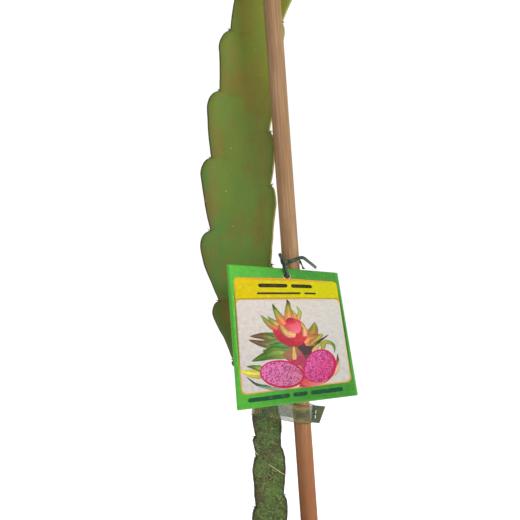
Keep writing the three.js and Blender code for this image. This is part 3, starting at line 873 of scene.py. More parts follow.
YOUNG_STEM = {
    "axis": [
        (-20, -1, 156), (-24.6, 0, 166), (-28.5, 1, 181), (-33, 3.5, 213), (-36.2, 6.3, 260),
        (-36, 7.5, 308), (-34.5, 8, 350), (-28, 8.5, 388), (-25.5, 8.8, 411), (-19.6, 9.2, 432),
        (-8, 9.6, 468), (3, 10, 508), (9, 10, 540), (12.6, 10, 564),
    ],
    "reach": [
        (0, 4), (12, 5), (32, 17), (62, 22.5), (97, 28.2), (157, 28.5), (197, 26), (232, 25),
        (277, 22.5), (347, 23), (422, 19),
    ],
    "core": [(0, 3.4), (12, 4), (60, 6.5), (425, 5.5)],
    "edge": 1.4,
    "middle": 2.9,
    "tip": 20,
    "ribs": [
        (-20, 0.15, [6, 42.5, 90.5, 148.5, 186.5, 226.5, 268.5, 310.5, 352.5, 390.5, 436.5]),
        (90, 0.25, [2, 20.5, 52.5, 90.5, 128.5, 168.5, 208.5, 248.5, 290.5, 332.5, 372.5, 426.5]),
        (200, 0.27, [8, 27.5, 68.5, 116.5, 167.5, 211.5, 255.5, 301.5, 346.5, 382.5, 431.5]),
    ],
}


def young_skin():
    paint = Paint("young_stem_skin")
    edge = paint.attribute("edge")
    left = paint.attribute("left")
    grown = paint.attribute("grown")
    tall = (1, 1, 0.42)
    blotch = paint.noise(40, 5, 0.66, tall)
    fine = paint.noise(240, 4, 0.6)
    paint.colour = paint.mix(paint.noise(17, 4, 0.6, tall).rise(0.36, 0.62), (78, 110, 36), (112, 122, 38))
    paint.coat(blotch.rise(0.4, 0.7), (84, 124, 50))
    paint.coat(grown.rise(0.1, 0.02) * 0.75, (54, 86, 36))
    paint.coat(edge.rise(0.55, 0.0) * 0.15, (66, 88, 30))
    # Painted light and shade: the left flank, away from the light, is painted darker green, and the right
    # flank lighter and yellower.
    paint.coat(left * 0.62, (38, 82, 26))
    paint.coat((1 - left) * 0.24, (142, 144, 50))
    flush = paint.noise(38, 4, 0.6, (1, 1, 0.6)).rise(0.44, 0.62)
    # The bronze flushes are the skin's own colour, but they lie thicker on the left flank, which deepens its
    # painted shade.
    paint.coat(flush * (0.32 + left * 0.24), (118, 76, 32))
    paint.coat(grown.rise(0.15, 0.27) * 0.3, (150, 146, 48))
    # The horny margin is painted pale straw on the right flank as a painted highlight, paler lower down, and
    # dark brown on the left flank as painted shade.
    margin = (edge + (fine - 0.5) * 0.1).rise(0.68, 0.76)
    lit_margin_tone = paint.mix(grown.rise(0.17, 0.25) * 0.8, (190, 174, 100), (112, 112, 50))
    paint.coat(margin, paint.mix(left.rise(0.5, 0.9), lit_margin_tone, (78, 54, 32)))
    paint.coat(edge.rise(0.45, 0.7) * (1 - margin) * 0.3, (62, 92, 34))
    speck = paint.cells(210).rise(0.09, 0.05) * paint.noise(90, 2).rise(0.56, 0.66)
    paint.coat(speck * 0.5, (190, 190, 150))
    pore = paint.noise(1500, 3, 0.6)
    paint.coat(pore.rise(0.5, 0.75) * 0.16, (60, 84, 36))
    height = pore * 0.25 + fine * 0.3 + blotch * 0.5
    return paint.finish(0.4 + fine * 0.14 + margin * 0.15, height, 0.0005, Specular_IOR_Level=0.25)


def young_relief(point, edge):
    soft = noise.fractal(Vector(point) * 0.035, 0.9, 2.0, 3)
    fine = noise.noise(Vector(point) * 0.22)
    ripple = noise.noise(Vector((point[2] * 0.16, edge * 2, 7.7)))
    return 0.55 * soft * (1 - 0.6 * edge) + 0.12 * fine + 0.25 * ripple * edge


young_stem = Stem(YOUNG_STEM, 620)
young_skin_piece = young_stem.skin("young_stem_skin", young_relief, young_skin())
fitted(young_skin_piece, "young_stem", "young_stem")
spines, tufts = spine_set(young_stem, 4, 1.3, 0.5, 6, MIX_TOP + 170)
young_horn = horn("young_spine", (30, 24, 18), (74, 56, 38))
fitted(standing("young_stem_spines", spines, "spine", 0.9, 2.9, young_horn), "young_stem")
for x, z in ((-0.0413, 0.4604), (-0.0448, 0.4303), (-0.0399, 0.4058)):
    struck, point, out, _ = young_skin_piece.ray_cast(Vector((x, -0.2, z)), Vector((0, 1, 0)))
    if struck:
        tufts.append((point / MM, out, 0.36))
fitted(standing("young_stem_felt", tufts, "tuft", 1.5, 1.1, wool), "young_stem")


# ---- Stake -----------------------------------------------------------------------------------
# A 12 mm softwood dowel, 69 cm long, with chamfered ends. It is pushed 10 cm into the mix in
# front of the stems and leans a little to the left. Its sawn ends show the year rings.

STAKE_RADIUS = 6
STAKE_LENGTH = 688
STAKE_DEPTH = 102
STAKE_LEAN = Vector((-0.0725, -0.0172, 1))


def stake_centre(height):
    """The stake's axis at a height above the mix, in millimetres."""
    return Vector((*STAKE_FOOT, MIX_TOP)) + STAKE_LEAN * height


def pine():
    paint = Paint("pine_dowel")
    grain = paint.attribute("grain", "Vector")
    streak = paint.noise(1, 6, 0.62, (1.15, 1.15, 0.011), grain)
    vein = paint.noise(1, 4, 0.6, (3.4, 3.4, 0.03), grain)
    tone = paint.noise(1, 3, 0.5, (0.2, 0.2, 0.02), grain)
    paint.colour = paint.mix(tone.rise(0.35, 0.65), (130, 104, 70), (156, 124, 94))
    paint.coat(streak.rise(0.4, 0.66) * 0.8, (128, 88, 54))
    paint.coat(vein.rise(0.55, 0.75) * 0.5, (104, 70, 42))
    pale = paint.noise(1, 4, 0.6, (2.2, 2.2, 0.02), grain).rise(0.56, 0.72)
    paint.coat(pale * 0.4, (190, 164, 134))
    low = paint.node("ShaderNodeSeparateXYZ", {}, {0: grain}, out=2)
    paint.coat((low + paint.noise(30, 3) * 160).rise(420, 240) * 0.7, (138, 76, 36))
    spots = paint.noise(1, 3, 0.6, (1.6, 1.6, 0.5), grain).rise(0.67, 0.73)
    paint.coat(spots * 0.75, (58, 40, 28))
    off = paint.node("ShaderNodeVectorMath", {"operation": "MULTIPLY"}, {0: grain, 1: (1.0, 1.0, 0.0)})
    shift = paint.node("ShaderNodeVectorMath", {"operation": "ADD"}, {0: off, 1: (9.0, 4.0, 0.0)})
    away = paint.node("ShaderNodeVectorMath", {"operation": "LENGTH"}, {0: shift}, out=1)
    year = away.reckon("FRACT", away * 0.55 + paint.noise(300, 2) * 0.3)
    paint.coat(paint.attribute("cut_end"), paint.mix(year.rise(0.5, 0.95), (196, 158, 116), (138, 98, 62)))
    height = streak * 0.6 + vein * 0.6 + paint.noise(1, 3, 0.6, (6, 6, 0.2), grain) * 0.4
    return paint.finish(0.62 + vein * 0.2, height, 0.0004, Specular_IOR_Level=0.3)


def stake_body(material, sides=72):
    chamfer = [(2.5, 0), (4.9, 0.05), (5.6, 0.5), (6, 1.1)]
    rows = chamfer + [(STAKE_RADIUS, height) for height in np.linspace(4, STAKE_LENGTH - 4, 230)]
    rows += [(radius, STAKE_LENGTH - height) for radius, height in reversed(chamfer)]
    up = STAKE_LEAN.normalized()
    across = Vector((1, 0, 0))
    across = (across - up * across.dot(up)).normalized()
    other = up.cross(across)
    foot = stake_centre(0) - up * STAKE_DEPTH
    rings = []
    grain = []
    for radius, height in rows:
        rings.append([])
        for x, y in circle(sides):
            groove = noise.fractal(Vector((x * 2.6, y * 2.6, height * 0.012)), 0.9, 2.2, 4) * 0.14
            nick = min(0, noise.noise(Vector((x * 5, y * 5, height * 0.05))) + 0.35) * 0.35
            away = radius + (groove + nick - 0.05) * min(1, radius / 5)
            rings[-1].append((foot + up * height + across * x * away + other * y * away) * MM)
            grain.append((x * away, y * away, height))
    cut = [float(radius < 5.2) for radius, height in rows for _ in range(sides)]
    piece = tube("stake_dowel", rings, foot * MM, (foot + up * STAKE_LENGTH) * MM, material, 40)
    mark(piece, grain=grain + [(0, 0, 0), (0, 0, STAKE_LENGTH)], cut_end=cut + [1.0, 1.0])
    return piece


fitted(stake_body(pine()), "stake", "stake")


# ---- Tape ties -------------------------------------------------------------------------------
# Two bands of grey-green stretch film, 12 mm wide, pulled tight round a stem and the stake. The
# ends are pressed together into a short tail, which a wire staple closes from behind.

TAPE_WIDTH = 12
TAPE_TAIL = 8.2
TAPE_SLANT = 3
TAPE_ROWS = 24
TAIL_COLUMNS = 16
TAIL_START = STAKE_RADIUS + 1.8
TAIL_ROOT = TAIL_START - 0.7
LOWER_TAPE = {"height": 144.6, "tilt": 6, "turn": 0, "staple": 1.8}
UPPER_TAPE = {"height": 457, "tilt": -4, "turn": -58, "staple": 2.4}


def stretch_film():
    paint = Paint("stretch_film")
    fold = paint.attribute("fold")
    cloud = paint.noise(95, 3, 0.5)
    haze = paint.noise(420, 5, 0.7, (0.35, 0.35, 1))
    paint.colour = paint.mix(cloud.rise(0.4, 0.6), (70, 90, 60), (136, 124, 70))
    paint.coat(haze.rise(0.5, 0.75) * 0.3, (158, 156, 108))
    # Painted highlight: the fold ridges are painted paler, over their real relief and thicker film.
    paint.coat(fold.rise(0.6, 1.0) * 0.5, (176, 174, 150))
    hem = paint.attribute("hem").rise(0.9, 0.98)
    paint.coat(hem * 0.8, (40, 40, 34))
    pressed = paint.attribute("pressed")
    paint.coat(pressed * 0.85, (62, 70, 44))
    thick = 0.28 + cloud * 0.2 + hem * 0.34 + fold * 0.16 + pressed * 0.55
    crease = haze * 0.3 + paint.noise(900, 3) * 0.15 + fold
    gloss = {"Coat_Weight": 0.1, "Specular_IOR_Level": 0.3}
    return paint.finish(0.22 + haze * 0.2, crease, 0.0003, Alpha=thick, **gloss)


def tape_place(tape):
    """The band's own frame, with its tail along X and the stake through its middle."""
    tilt = Matrix.Rotation(math.radians(tape["tilt"]), 4, "Y")
    turn = Matrix.Rotation(math.radians(tape["turn"]), 4, "Z")
    return Matrix.Translation(stake_centre(tape["height"])) @ (tilt @ turn)


def outline_round(points):
    """The convex outline round some points, counter-clockwise."""
    ordered = sorted(set((round(x, 3), round(y, 3)) for x, y in points))

    def half(row):
        chain = []
        for p in row:
            while len(chain) > 1:
                (ax, ay), (bx, by) = chain[-2:]
                if (bx - ax) * (p[1] - ay) - (by - ay) * (p[0] - ax) > 0:
                    break
                chain.pop()
            chain.append(p)
        return chain[:-1]

    return np.array(half(ordered) + half(ordered[::-1]))


def evenly(loop, spacing, softening):
    """A closed loop with even steps and softened corners."""
    closed = np.vstack([loop, loop[:1]])
    gone = np.concatenate([[0], np.cumsum(np.linalg.norm(np.diff(closed, axis=0), axis=1))])
    places = np.linspace(0, gone[-1], int(gone[-1] / spacing), endpoint=False)
    even = np.stack([np.interp(places, gone, closed[:, k]) for k in range(2)], 1)
    for _ in range(softening):
        even = (np.roll(even, 1, 0) + 2 * even + np.roll(even, -1, 0)) / 4
    return even


def tape_body(name, tape, skin_piece, material):
    """The band round the stem and the stake, and its tail of two layers pressed together."""
    place = tape_place(tape)
    inverse = place.inverted()
    seed = tape["height"]
    half = TAPE_WIDTH / 2
    held = [inverse @ (vertex.co / MM) for vertex in skin_piece.data.vertices]
    held = [p for p in held if abs(p.z) < half + 1]
    for rise in (-half, half):
        centre = stake_centre(tape["height"] + rise)
        held += [inverse @ (centre + Vector((x, y, 0)) * (STAKE_RADIUS + 0.15)) for x, y in circle(60)]
    loop = evenly(outline_round([(p.x, p.y) for p in held] + [(TAIL_START, 0)]), 0.45, 3)
    ahead = np.roll(loop, -1, 0) - np.roll(loop, 1, 0)
    ahead /= np.linalg.norm(ahead, axis=1)[:, None]
    normal = np.stack([ahead[:, 1], -ahead[:, 0]], 1)
    freedom = np.where(np.abs(np.linalg.norm(loop, axis=1) - STAKE_RADIUS) < 1.2, 0.35, 1)
    levels = [2 * k / TAPE_ROWS - 1 for k in range(TAPE_ROWS + 1)]
    section = [(t, 0.36) for t in levels] + [(t, 0.0) for t in levels[::-1]]
    points = []
    folds = []
    hems = []

    def crease(x, y, t):
        """Long curved folds that gather towards the tail, and fine cross wrinkles."""
        pull = math.exp(-((x - TAIL_START) / 16) ** 2)
        bowed = t * (1 - 0.5 * pull) + 0.0016 * (x + 14) ** 2
        long = noise.noise(Vector((x * 0.05, bowed * 4.2, seed)))
        fine = noise.noise(Vector((x * 0.35, y * 0.35, bowed * 7 + seed)))
        return max(0, 1 - abs(long) * 3.2) ** 2 * 0.85 + fine * 0.2

    for spot, way, free in zip(loop, normal, freedom):
        for t, out in section:
            ridge = crease(*spot, t)
            wave = 0.35 * noise.noise(Vector((spot[0] * 0.12, spot[1] * 0.12, t + seed)))
            x, y = spot + way * (0.25 + out + 0.3 * ridge * free)
            points.append(place @ Vector((x, y, t * half + wave)))
            folds.append(ridge)
            hems.append(abs(t))
    ring = len(section)
    faces = []
    for low in range(0, len(loop) * ring, ring):
        high = (low + ring) % (len(loop) * ring)
        for k in range(ring):
            beside = (k + 1) % ring
            faces.append((low + k, high + k, high + beside, low + beside))
    start = len(points)
    for layer in (-1, 1):
        for j in range(TAIL_COLUMNS + 1):
            share = j / TAIL_COLUMNS
            for k, t in enumerate(levels):
                far = TAIL_START + TAPE_TAIL - TAPE_SLANT * (1 - t) / 2
                x = TAIL_ROOT + (far - TAIL_ROOT) * share
                ripple = noise.noise(Vector((x * 0.3, t * 1.6, seed + 9)))
                within = 0 < k < TAPE_ROWS and 0 < j < TAIL_COLUMNS
                spread = 0.18 + 0.2 * share ** 2 if within else 0.22
                y = layer * spread + 0.45 * ripple * share + 0.12
                points.append(place @ Vector((x, y, t * half)))
                folds.append(0.5 + ripple * 0.6)
                hems.append(max(abs(t), 1.0 if j == TAIL_COLUMNS else 0))
    across = TAPE_ROWS + 1
    second = start + (TAIL_COLUMNS + 1) * across
    for j in range(TAIL_COLUMNS):
        for k in range(TAPE_ROWS):
            a = start + j * across + k
            b = second + j * across + k
            faces.append((a, a + across, a + across + 1, a + 1))
            faces.append((b, b + 1, b + across + 1, b + across))
    border = [j * across for j in range(TAIL_COLUMNS + 1)]
    border += [TAIL_COLUMNS * across + k for k in range(1, TAPE_ROWS + 1)]
    border += [j * across + TAPE_ROWS for j in range(TAIL_COLUMNS - 1, -1, -1)]
    border += range(TAPE_ROWS - 1, 0, -1)
    for a, b in zip(border, border[1:] + border[:1]):
        faces.append((start + b, start + a, second + a, second + b))
    piece = solid(name, [point * MM for point in points], faces, material, crease=60)
    mark(piece, fold=folds, hem=hems, pressed=[0.0] * start + [1.0] * (len(points) - start))
    return piece


def staple_steel():
    paint = Paint("staple_steel")
    wear = paint.noise(1400, 3)
    paint.colour = paint.mix(wear.rise(0.4, 0.7), (236, 236, 234), (196, 196, 194))
    return paint.finish(0.3 + wear * 0.14, wear, 0.00004, Metallic=0.75)


def staple(name, tape, material):
    """A flat wire pushed through from behind, with its two legs clinched over in front."""
    place = tape_place(tape)
    across = TAIL_START + tape["staple"]
    back = 0.85
    tall = 2.85
    gap = 0.62
    bend = 0.35
    leg = [(-back, gap), (-back - 0.05, (gap + tall) / 2), (-back, tall - bend), (-back + bend, tall),
           (back - bend, tall), (back, tall - bend)]
    line = leg + [(back, 0)] + [(y, -z) for y, z in reversed(leg)]
    route = [(place @ Vector((across, y, z)), place.to_3x3() @ Vector((1, 0, 0))) for y, z in line]
    wire = closed_loop(name + "_wire", [(0.3 * x, 0.25 * y) for x, y in circle(10)])
    return swept(name, [route], wire, material)


film = stretch_film()
steel = staple_steel()
for prefix, tape, held in (("", LOWER_TAPE, old_skin_piece), ("upper_", UPPER_TAPE, young_skin_piece)):
    band = tape_body(prefix + "stretch_film_band", tape, held, film)
    fitted(band, "tape", prefix + "tape_tie")
    fitted(staple(prefix + "wire_staple", tape, steel), "staple", prefix + "tape_staple")


# ---- Picture card ----------------------------------------------------------------------------
# A thin printed plastic card, 77 by 95 mm, with a punched hole. It hangs in front of the stake and
# has taken a bend and a twist. The back is plain white; the wording is left as plain bars.

CARD_WIDTH = 77
CARD_HEIGHT = 95
CARD_THICKNESS = 0.5
CARD_HOLE = (1.5, CARD_HEIGHT / 2 - 7.1)
CARD_HOLE_RADIUS = 2.5
CARD_BEND = 142
CARD_BEND_SLANT = math.radians(54)
CARD_TWIST = -0.00306
CARD_TURN = (Matrix.Rotation(math.radians(90), 3, "X") @ Matrix.Rotation(math.radians(3.6), 3, "Z")
             @ Matrix.Rotation(math.radians(1.6), 3, "Y") @ Matrix.Rotation(math.radians(-24.2), 3, "X"))


def bent(x, y, z):
    """A point of the flat card after its bend and twist."""
    cosine = math.cos(CARD_BEND_SLANT)
    sine = math.sin(CARD_BEND_SLANT)
    across = x * cosine + y * sine
    length = y * cosine - x * sine
    turn = across / CARD_BEND
    radius = CARD_BEND + z
    chord = radius * math.sin(turn)
    lift = radius * math.cos(turn) - CARD_BEND + CARD_TWIST * x * y
    return Vector((chord * cosine - length * sine, chord * sine + length * cosine, lift))


def card_point(x, y, z):
    hang = stake_centre(239.3) + Vector((-3.9, -STAKE_RADIUS - 6.6, 0))
    return hang + CARD_TURN @ (bent(x, y, z) - bent(*CARD_HOLE, 0))


def box_outline(left, low, right, high, round_by, steps=5):
    """A rectangle with rounded corners, as points in card millimetres."""
    found = []
    for x, y, start in ((right, high, 0), (left, high, 90), (left, low, 180), (right, low, 270)):
        cx = x - math.copysign(round_by, x - (left + right) / 2)
        cy = y - math.copysign(round_by, y - (low + high) / 2)
        for k in range(steps + 1):
            angle = math.radians(start + 90 * k / steps)
            found.append((cx + round_by * math.cos(angle), cy + round_by * math.sin(angle)))
    return found


def oval(x, y, long, short, degrees, steps=44):
    cosine, sine = math.cos(math.radians(degrees)), math.sin(math.radians(degrees))
    return [(x + long * a * cosine - short * b * sine, y + long * a * sine + short * b * cosine)
            for a, b in circle(steps)]


def blob(points, steps=5):
    """A smooth closed outline through a few points."""
    ring = np.array([*points[-1:], *points, *points[:2]], float)
    return [tuple(swing(*ring[i:i + 4], k / steps)) for i in range(len(points)) for k in range(steps)]


def scale_leaf(line, width, steps=12):
    """A pointed scale along a line of points, widest near its root."""
    path, ahead, length = spaced(between([(*p, 0) for p in line], 12), steps + 1)
    left = []
    right = []
    for k in range(steps):
        t = k / steps
        half = width / 2 * min(1, 0.55 + 2.2 * t) * (1 - t) ** 0.72 * 1.15
        side = np.array([-ahead[k][1], ahead[k][0]]) * half
        left.append(tuple(path[k][:2] + side))
        right.append(tuple(path[k][:2] - side))
    return right + [tuple(path[-1][:2])] + left[::-1]


# The border's green is painted lighter at the left and darker towards the right, as painted light and shade.
SHADED_BORDER = ((84, 170, 56), (62, 134, 46))
WHITE = ((236, 240, 232), (236, 240, 232))
LEAF = ((140, 156, 72), (66, 98, 40))
BROWNED = ((112, 140, 70), (96, 72, 50))
INK = ((52, 44, 20), (52, 44, 20))
GREEN_INK = ((24, 78, 44), (24, 78, 44))
RIND = ((184, 36, 88), (178, 36, 66))
HALF_X = CARD_WIDTH / 2
HALF_Y = CARD_HEIGHT / 2
PRINT_SEED = 103
card_shapes = []


def printed(outline, colours, ends=((0, 0), (1, 0)), seeded=0, strength=1):
    """Adds a shape: its outline, the two colours that it runs between, where they lie, and its seeds."""
    inks = [[min(1, level * strength) for level in tint(*colour)[:3]] for colour in colours]
    card_shapes.append((outline, inks, [Vector(end) for end in ends], seeded))


def leaf(line, width, colours):
    """A scale of the fruit: a dark rim, and its colour turning well before the tip."""
    root, tip = Vector(line[0]), Vector(line[-1])
    turning = (root, root.lerp(tip, 0.62))
    printed(scale_leaf(line, width + 0.7), colours, (root, tip), strength=0.42)
    printed(scale_leaf(line, width), colours, turning)
    if width > 3:
        printed(scale_leaf(line, width * 0.3), colours, turning, strength=1.45)


def area(points, colours, ends):
    printed(blob(points), colours, ends)


# The border and the hole's collar, then the frame, the yellow head with its lower edge, and the panel.
rim = box_outline(-HALF_X, -HALF_Y, HALF_X, HALF_Y, 0.8, 3)
hole = oval(*CARD_HOLE, CARD_HOLE_RADIUS, CARD_HOLE_RADIUS, 0, 36)
collar = CARD_HOLE_RADIUS + 0.15
# The border, with its painted light and shade.
printed(rim, SHADED_BORDER, ((-38, 0), (8, 0)))
printed(oval(CARD_HOLE[0], CARD_HOLE[1] - 0.12, collar, collar, 0, 36), WHITE)
printed(box_outline(-34.5, -38.4, 35.8, 38.1, 3), ((214, 146, 50), (206, 148, 70)), ((0, 38), (0, -38)))
printed(box_outline(-33.8, 23.6, 35.5, 37.4, 1.2), ((196, 174, 0), (186, 182, 0)), ((-30, 30), (20, 30)))
printed(box_outline(-34.1, 22.7, 35.3, 23.6, 0.3), ((150, 156, 30), (150, 156, 30)))
printed(box_outline(-33.8, -37.7, 35, 22.3, 3.4), ((197, 187, 180), (188, 186, 178)), ((-30, 20), (30, -30)))
# The lower scales and the shaded side of the fruit.
area([(-2, -10), (4, -9.5), (12, -8), (20, -8), (15, -14), (10, -19), (6, -23), (2, -17)],
     ((92, 66, 60), (70, 58, 58)), ((0, -10), (12, -18)))
leaf([(-7, -6.5), (-16, -3), (-26.5, -2.2)], 6.5, BROWNED)
leaf([(-6, -8.5), (-17, -8), (-27.6, -4.2)], 6, BROWNED)
leaf([(-6, -5), (-11, -2.4), (-16.4, -1)], 3.6, LEAF)
leaf([(-3, -9), (-10, -12), (-19, -12.4)], 7, LEAF)
leaf([(0, -14), (-11, -14.5), (-26.4, -18.2)], 9.5, LEAF)
leaf([(2, -9), (-7, -9.5), (-15, -9)], 6, ((104, 140, 76), (62, 112, 52)))
leaf([(6, -10), (-1, -12.5), (-9, -13)], 4, ((74, 66, 60), (96, 116, 72)))
leaf([(-18.5, -26.5), (-27, -25.8), (-34.6, -23)], 6.2, ((168, 148, 70), (196, 186, 66)))
leaf([(-19, -24), (-25, -22), (-30, -21)], 3.4, LEAF)
leaf([(-15, -36), (-24, -33), (-30.8, -27)], 1.7, ((96, 128, 96), (60, 70, 56)))
leaf([(-3, -37.4), (-12, -37.2), (-24, -34)], 2.4, ((150, 162, 130), (120, 146, 118)))
area([(-6, -16), (-1, -12), (2, -10.5), (5, -14), (8, -20), (5, -24), (-2, -21)],
     ((138, 112, 70), (168, 62, 86)), ((-2, -12), (4, -22)))
area([(-1, -21), (3, -18), (8, -19), (9, -26), (8, -34), (12, -38), (3, -37.6), (7, -30), (4, -24)],
     ((160, 60, 84), (176, 62, 80)), ((2, -20), (8, -36)))
leaf([(1.5, -20), (1.5, -15), (1.8, -10)], 2.8, ((214, 160, 110), (196, 170, 92)))
# The right-hand scales behind the fruit.
leaf([(10, -8), (15, -2), (16.8, 4.8)], 10, ((196, 110, 66), (126, 116, 50)))
leaf([(8.5, -9), (15, -6.5), (21.5, -5.2)], 8.5, ((202, 132, 84), (150, 92, 52)))
leaf([(12, -11), (17, -8), (21, -3.4)], 4.4, ((150, 100, 62), (150, 146, 60)))
leaf([(15, -11), (20, -8), (25.4, -4.6)], 1.4, ((96, 84, 58), (52, 48, 44)))
leaf([(13.5, -16), (17.5, -12), (21.8, -9.5)], 2.8, ((206, 162, 112), (168, 160, 80)))
leaf([(20, -15), (21.5, -10), (27, -12), (27.4, -18.4)], 3, ((150, 150, 62), (96, 124, 56)))
leaf([(25.6, -27.5), (28.6, -23), (29, -18.5)], 2, ((204, 120, 110), (110, 60, 56)))
leaf([(23, -33), (27, -30), (30.6, -22)], 2.4, ((224, 150, 130), (214, 170, 140)))
# The fruit, and the scales that stand up from it.
leaf([(4, 4), (6.5, 9), (7.6, 12), (5.6, 17.4)], 3.4, ((222, 130, 110), (140, 152, 50)))
leaf([(3.4, 5), (3, 11), (-0.4, 16.4)], 4.6, ((214, 120, 92), (168, 158, 66)))
area([(-11, 2), (-7, 5.4), (-2, 8), (3, 8), (8, 5.4), (10.6, 1), (11, -4), (8.6, -9), (3, -11.6), (-3, -10.2),
      (-8, -6.4), (-10.6, -2)], ((192, 62, 72), (160, 44, 62)), ((0, 6), (-5, -10)))
area([(-1, 6), (4, 6.6), (7.4, 2), (5.6, -2.6), (1, -1), (-2.4, 2.4)],
     ((200, 62, 84), (222, 112, 122)), ((0, 6), (5, -2)))
area([(3, -4.6), (9.4, -4.2), (10.4, -6.4), (6.6, -10.2), (1.6, -11)],
     ((196, 62, 62), (168, 42, 58)), ((9, -4), (2, -11)))
leaf([(3.4, -3.8), (-2, -2), (-5, 2.6), (-6.6, 8)], 4.6, ((226, 150, 120), (150, 142, 64)))
leaf([(9.6, -5), (9.6, 0), (7.4, 4.8)], 3.4, ((228, 140, 116), (170, 150, 76)))
leaf([(-7.6, 1.5), (-13, 5), (-18.4, 11.8)], 4.6, ((198, 84, 74), (112, 130, 56)))
leaf([(-7, 4), (-10.6, 6.6), (-14, 10.4)], 3.6, ((186, 142, 84), (104, 128, 60)))
leaf([(-3, 4), (-7, 11), (-9.8, 18.8)], 5.8, ((216, 104, 76), (110, 132, 54)))
leaf([(0.6, 5), (0.2, 14), (0.4, 21.8)], 6.4, ((216, 128, 92), (128, 128, 44)))
leaf([(0.6, 17), (0.5, 19.6), (-0.4, 22)], 2.4, ((128, 128, 44), (66, 48, 36)))
leaf([(-8.8, 14), (-9.4, 16.6), (-10, 19)], 1.4, ((110, 132, 54), (52, 56, 36)))
area([(-2.4, 6), (0, 8.6), (3.6, 7.6), (4, 4.6), (0, 4)], ((150, 40, 60), (196, 62, 72)), ((0, 8), (1, 4)))
# The two cut halves: rind, flesh, and the paler flesh towards the light.
for x, y, long, short, degrees, flesh in (
    (17, -26.2, 11.9, 10.1, 62, ((204, 76, 142), (196, 52, 108))),
    (-7.2, -28.4, 14.6, 8.8, -14, ((208, 98, 156), (190, 104, 134))),
):
    ends = ((x - 8, y + 6), (x + 8, y - 6))
    printed(oval(x, y, long, short, degrees), RIND, ends)
    printed(oval(x - 0.3, y + 0.2, long - 1.2, short - 1.2, degrees), flesh, ends, seeded=1)
area([(6.5, -33), (11, -35.6), (17, -36.6), (21.5, -34.6), (16, -38), (8, -38.2), (5, -36)],
     ((196, 84, 84), (214, 128, 116)), ((8, -34), (18, -37)))
# Plain bars stand for the wording: a bold line, a lighter line, and a long line along the foot.
for left, right, height, half, ink in (
    (-18.5, 1.2, 32.3, 1.45, INK), (3.6, 18, 32.3, 1.45, INK), (-19.6, 9.6, 26.6, 0.75, INK),
    (12, 20, 26.6, 0.75, INK), (-30.6, -3.2, -42.3, 1.35, GREEN_INK), (-1.4, 7.8, -42.3, 1.35, GREEN_INK),
    (9.8, 30, -42.3, 1.35, GREEN_INK),
):
    printed(box_outline(left, height - half, right, height + half, half * 0.95), ink)


def inside(outline, x, y):
    """Which of the points lie inside an outline."""
    crossed = np.zeros(x.shape, bool)
    for (ax, ay), (bx, by) in zip(outline, outline[1:] + outline[:1]):
        if ay != by:
            crossed ^= ((ay > y) != (by > y)) & (x < (bx - ax) * (y - ay) / (by - ay) + ax)
    return crossed


def shape_colour(inks, ends, point):
    start, end = ends
    line = end - start
    t = min(1, max(0, (point - start).dot(line) / line.length_squared))
    mottle = 1 + 0.16 * noise.noise(Vector((point.x * 0.5, point.y * 0.5, PRINT_SEED)))
    return [(a + (b - a) * t) * mottle for a, b in zip(*inks)] + [1.0]


def card_body(material):
    """One closed sheet: the printed outlines cut its front into faces, and each face takes the
    colour of the topmost shape that it lies in."""
    points = []
    edges = []
    for outline in [shape[0] for shape in card_shapes] + [hole]:
        start = len(points)
        points += [Vector(p) for p in outline]
        edges += [(start + k, start + (k + 1) % len(outline)) for k in range(len(outline))]
    for i in range(-30, 31):
        for j in range(-37, 38):
            x = i * 1.25
            y = j * 1.25
            if abs(x) < HALF_X - 1 and abs(y) < HALF_Y - 1:
                points.append(Vector((x + 0.011 * (j % 7), y + 0.013 * (i % 5))))
    flat, _, cells, *_ = delaunay_2d_cdt(points, edges, [], 0, 1e-4)
    flat = [Vector(p) for p in flat]
    count = len(flat)
    x, y = np.array([sum((flat[k] for k in cell), Vector((0, 0))) / 3 for cell in cells]).T
    kept = inside(rim, x, y) & ~inside(hole, x, y)
    top = np.zeros(len(cells), int)
    for number, shape in enumerate(card_shapes):
        top[inside(shape[0], x, y)] = number
    front = [cell for cell, keep in zip(cells, kept) if keep]
    shapes = [card_shapes[number] for number, keep in zip(top, kept) if keep]
    half = CARD_THICKNESS / 2
    vertices = [card_point(p.x, p.y, side) for side in (half, -half) for p in flat]
    back = [tuple(k + count for k in reversed(cell)) for cell in front]
    sides = {(a, b) for cell in front for a, b in zip(cell, cell[1:] + cell[:1])}
    loops = [(a, b) for cell in front for a, b in zip(cell, cell[1:] + cell[:1]) if (b, a) not in sides]
    wall = [(b, a, a + count, b + count) for a, b in loops]
    used = sorted({k for face in front + back + wall for k in face})
    place = {k: i for i, k in enumerate(used)}
    faces = [tuple(place[k] for k in face) for face in front + back + wall]
    piece = solid("picture_card", [vertices[k] * MM for k in used], faces, material, crease=50)
    colours = []
    for cell, (outline, inks, ends, seeded) in zip(front, shapes):
        colours += [shape_colour(inks, ends, flat[k]) for k in cell]
    colours += [tint(233, 232, 226)] * (3 * len(back) + 4 * len(wall))
    ink = piece.data.color_attributes.new("print", "FLOAT_COLOR", "CORNER")
    ink.data.foreach_set("color", [level for colour in colours for level in colour])
    seeds = piece.data.attributes.new("seeded", "FLOAT", "FACE")
    plain = [0.0] * (len(back) + len(wall))
    seeds.data.foreach_set("value", [float(shape[3]) for shape in shapes] + plain)
    mark(piece, flat=[(*flat[k % count], 0) for k in used])
    return piece


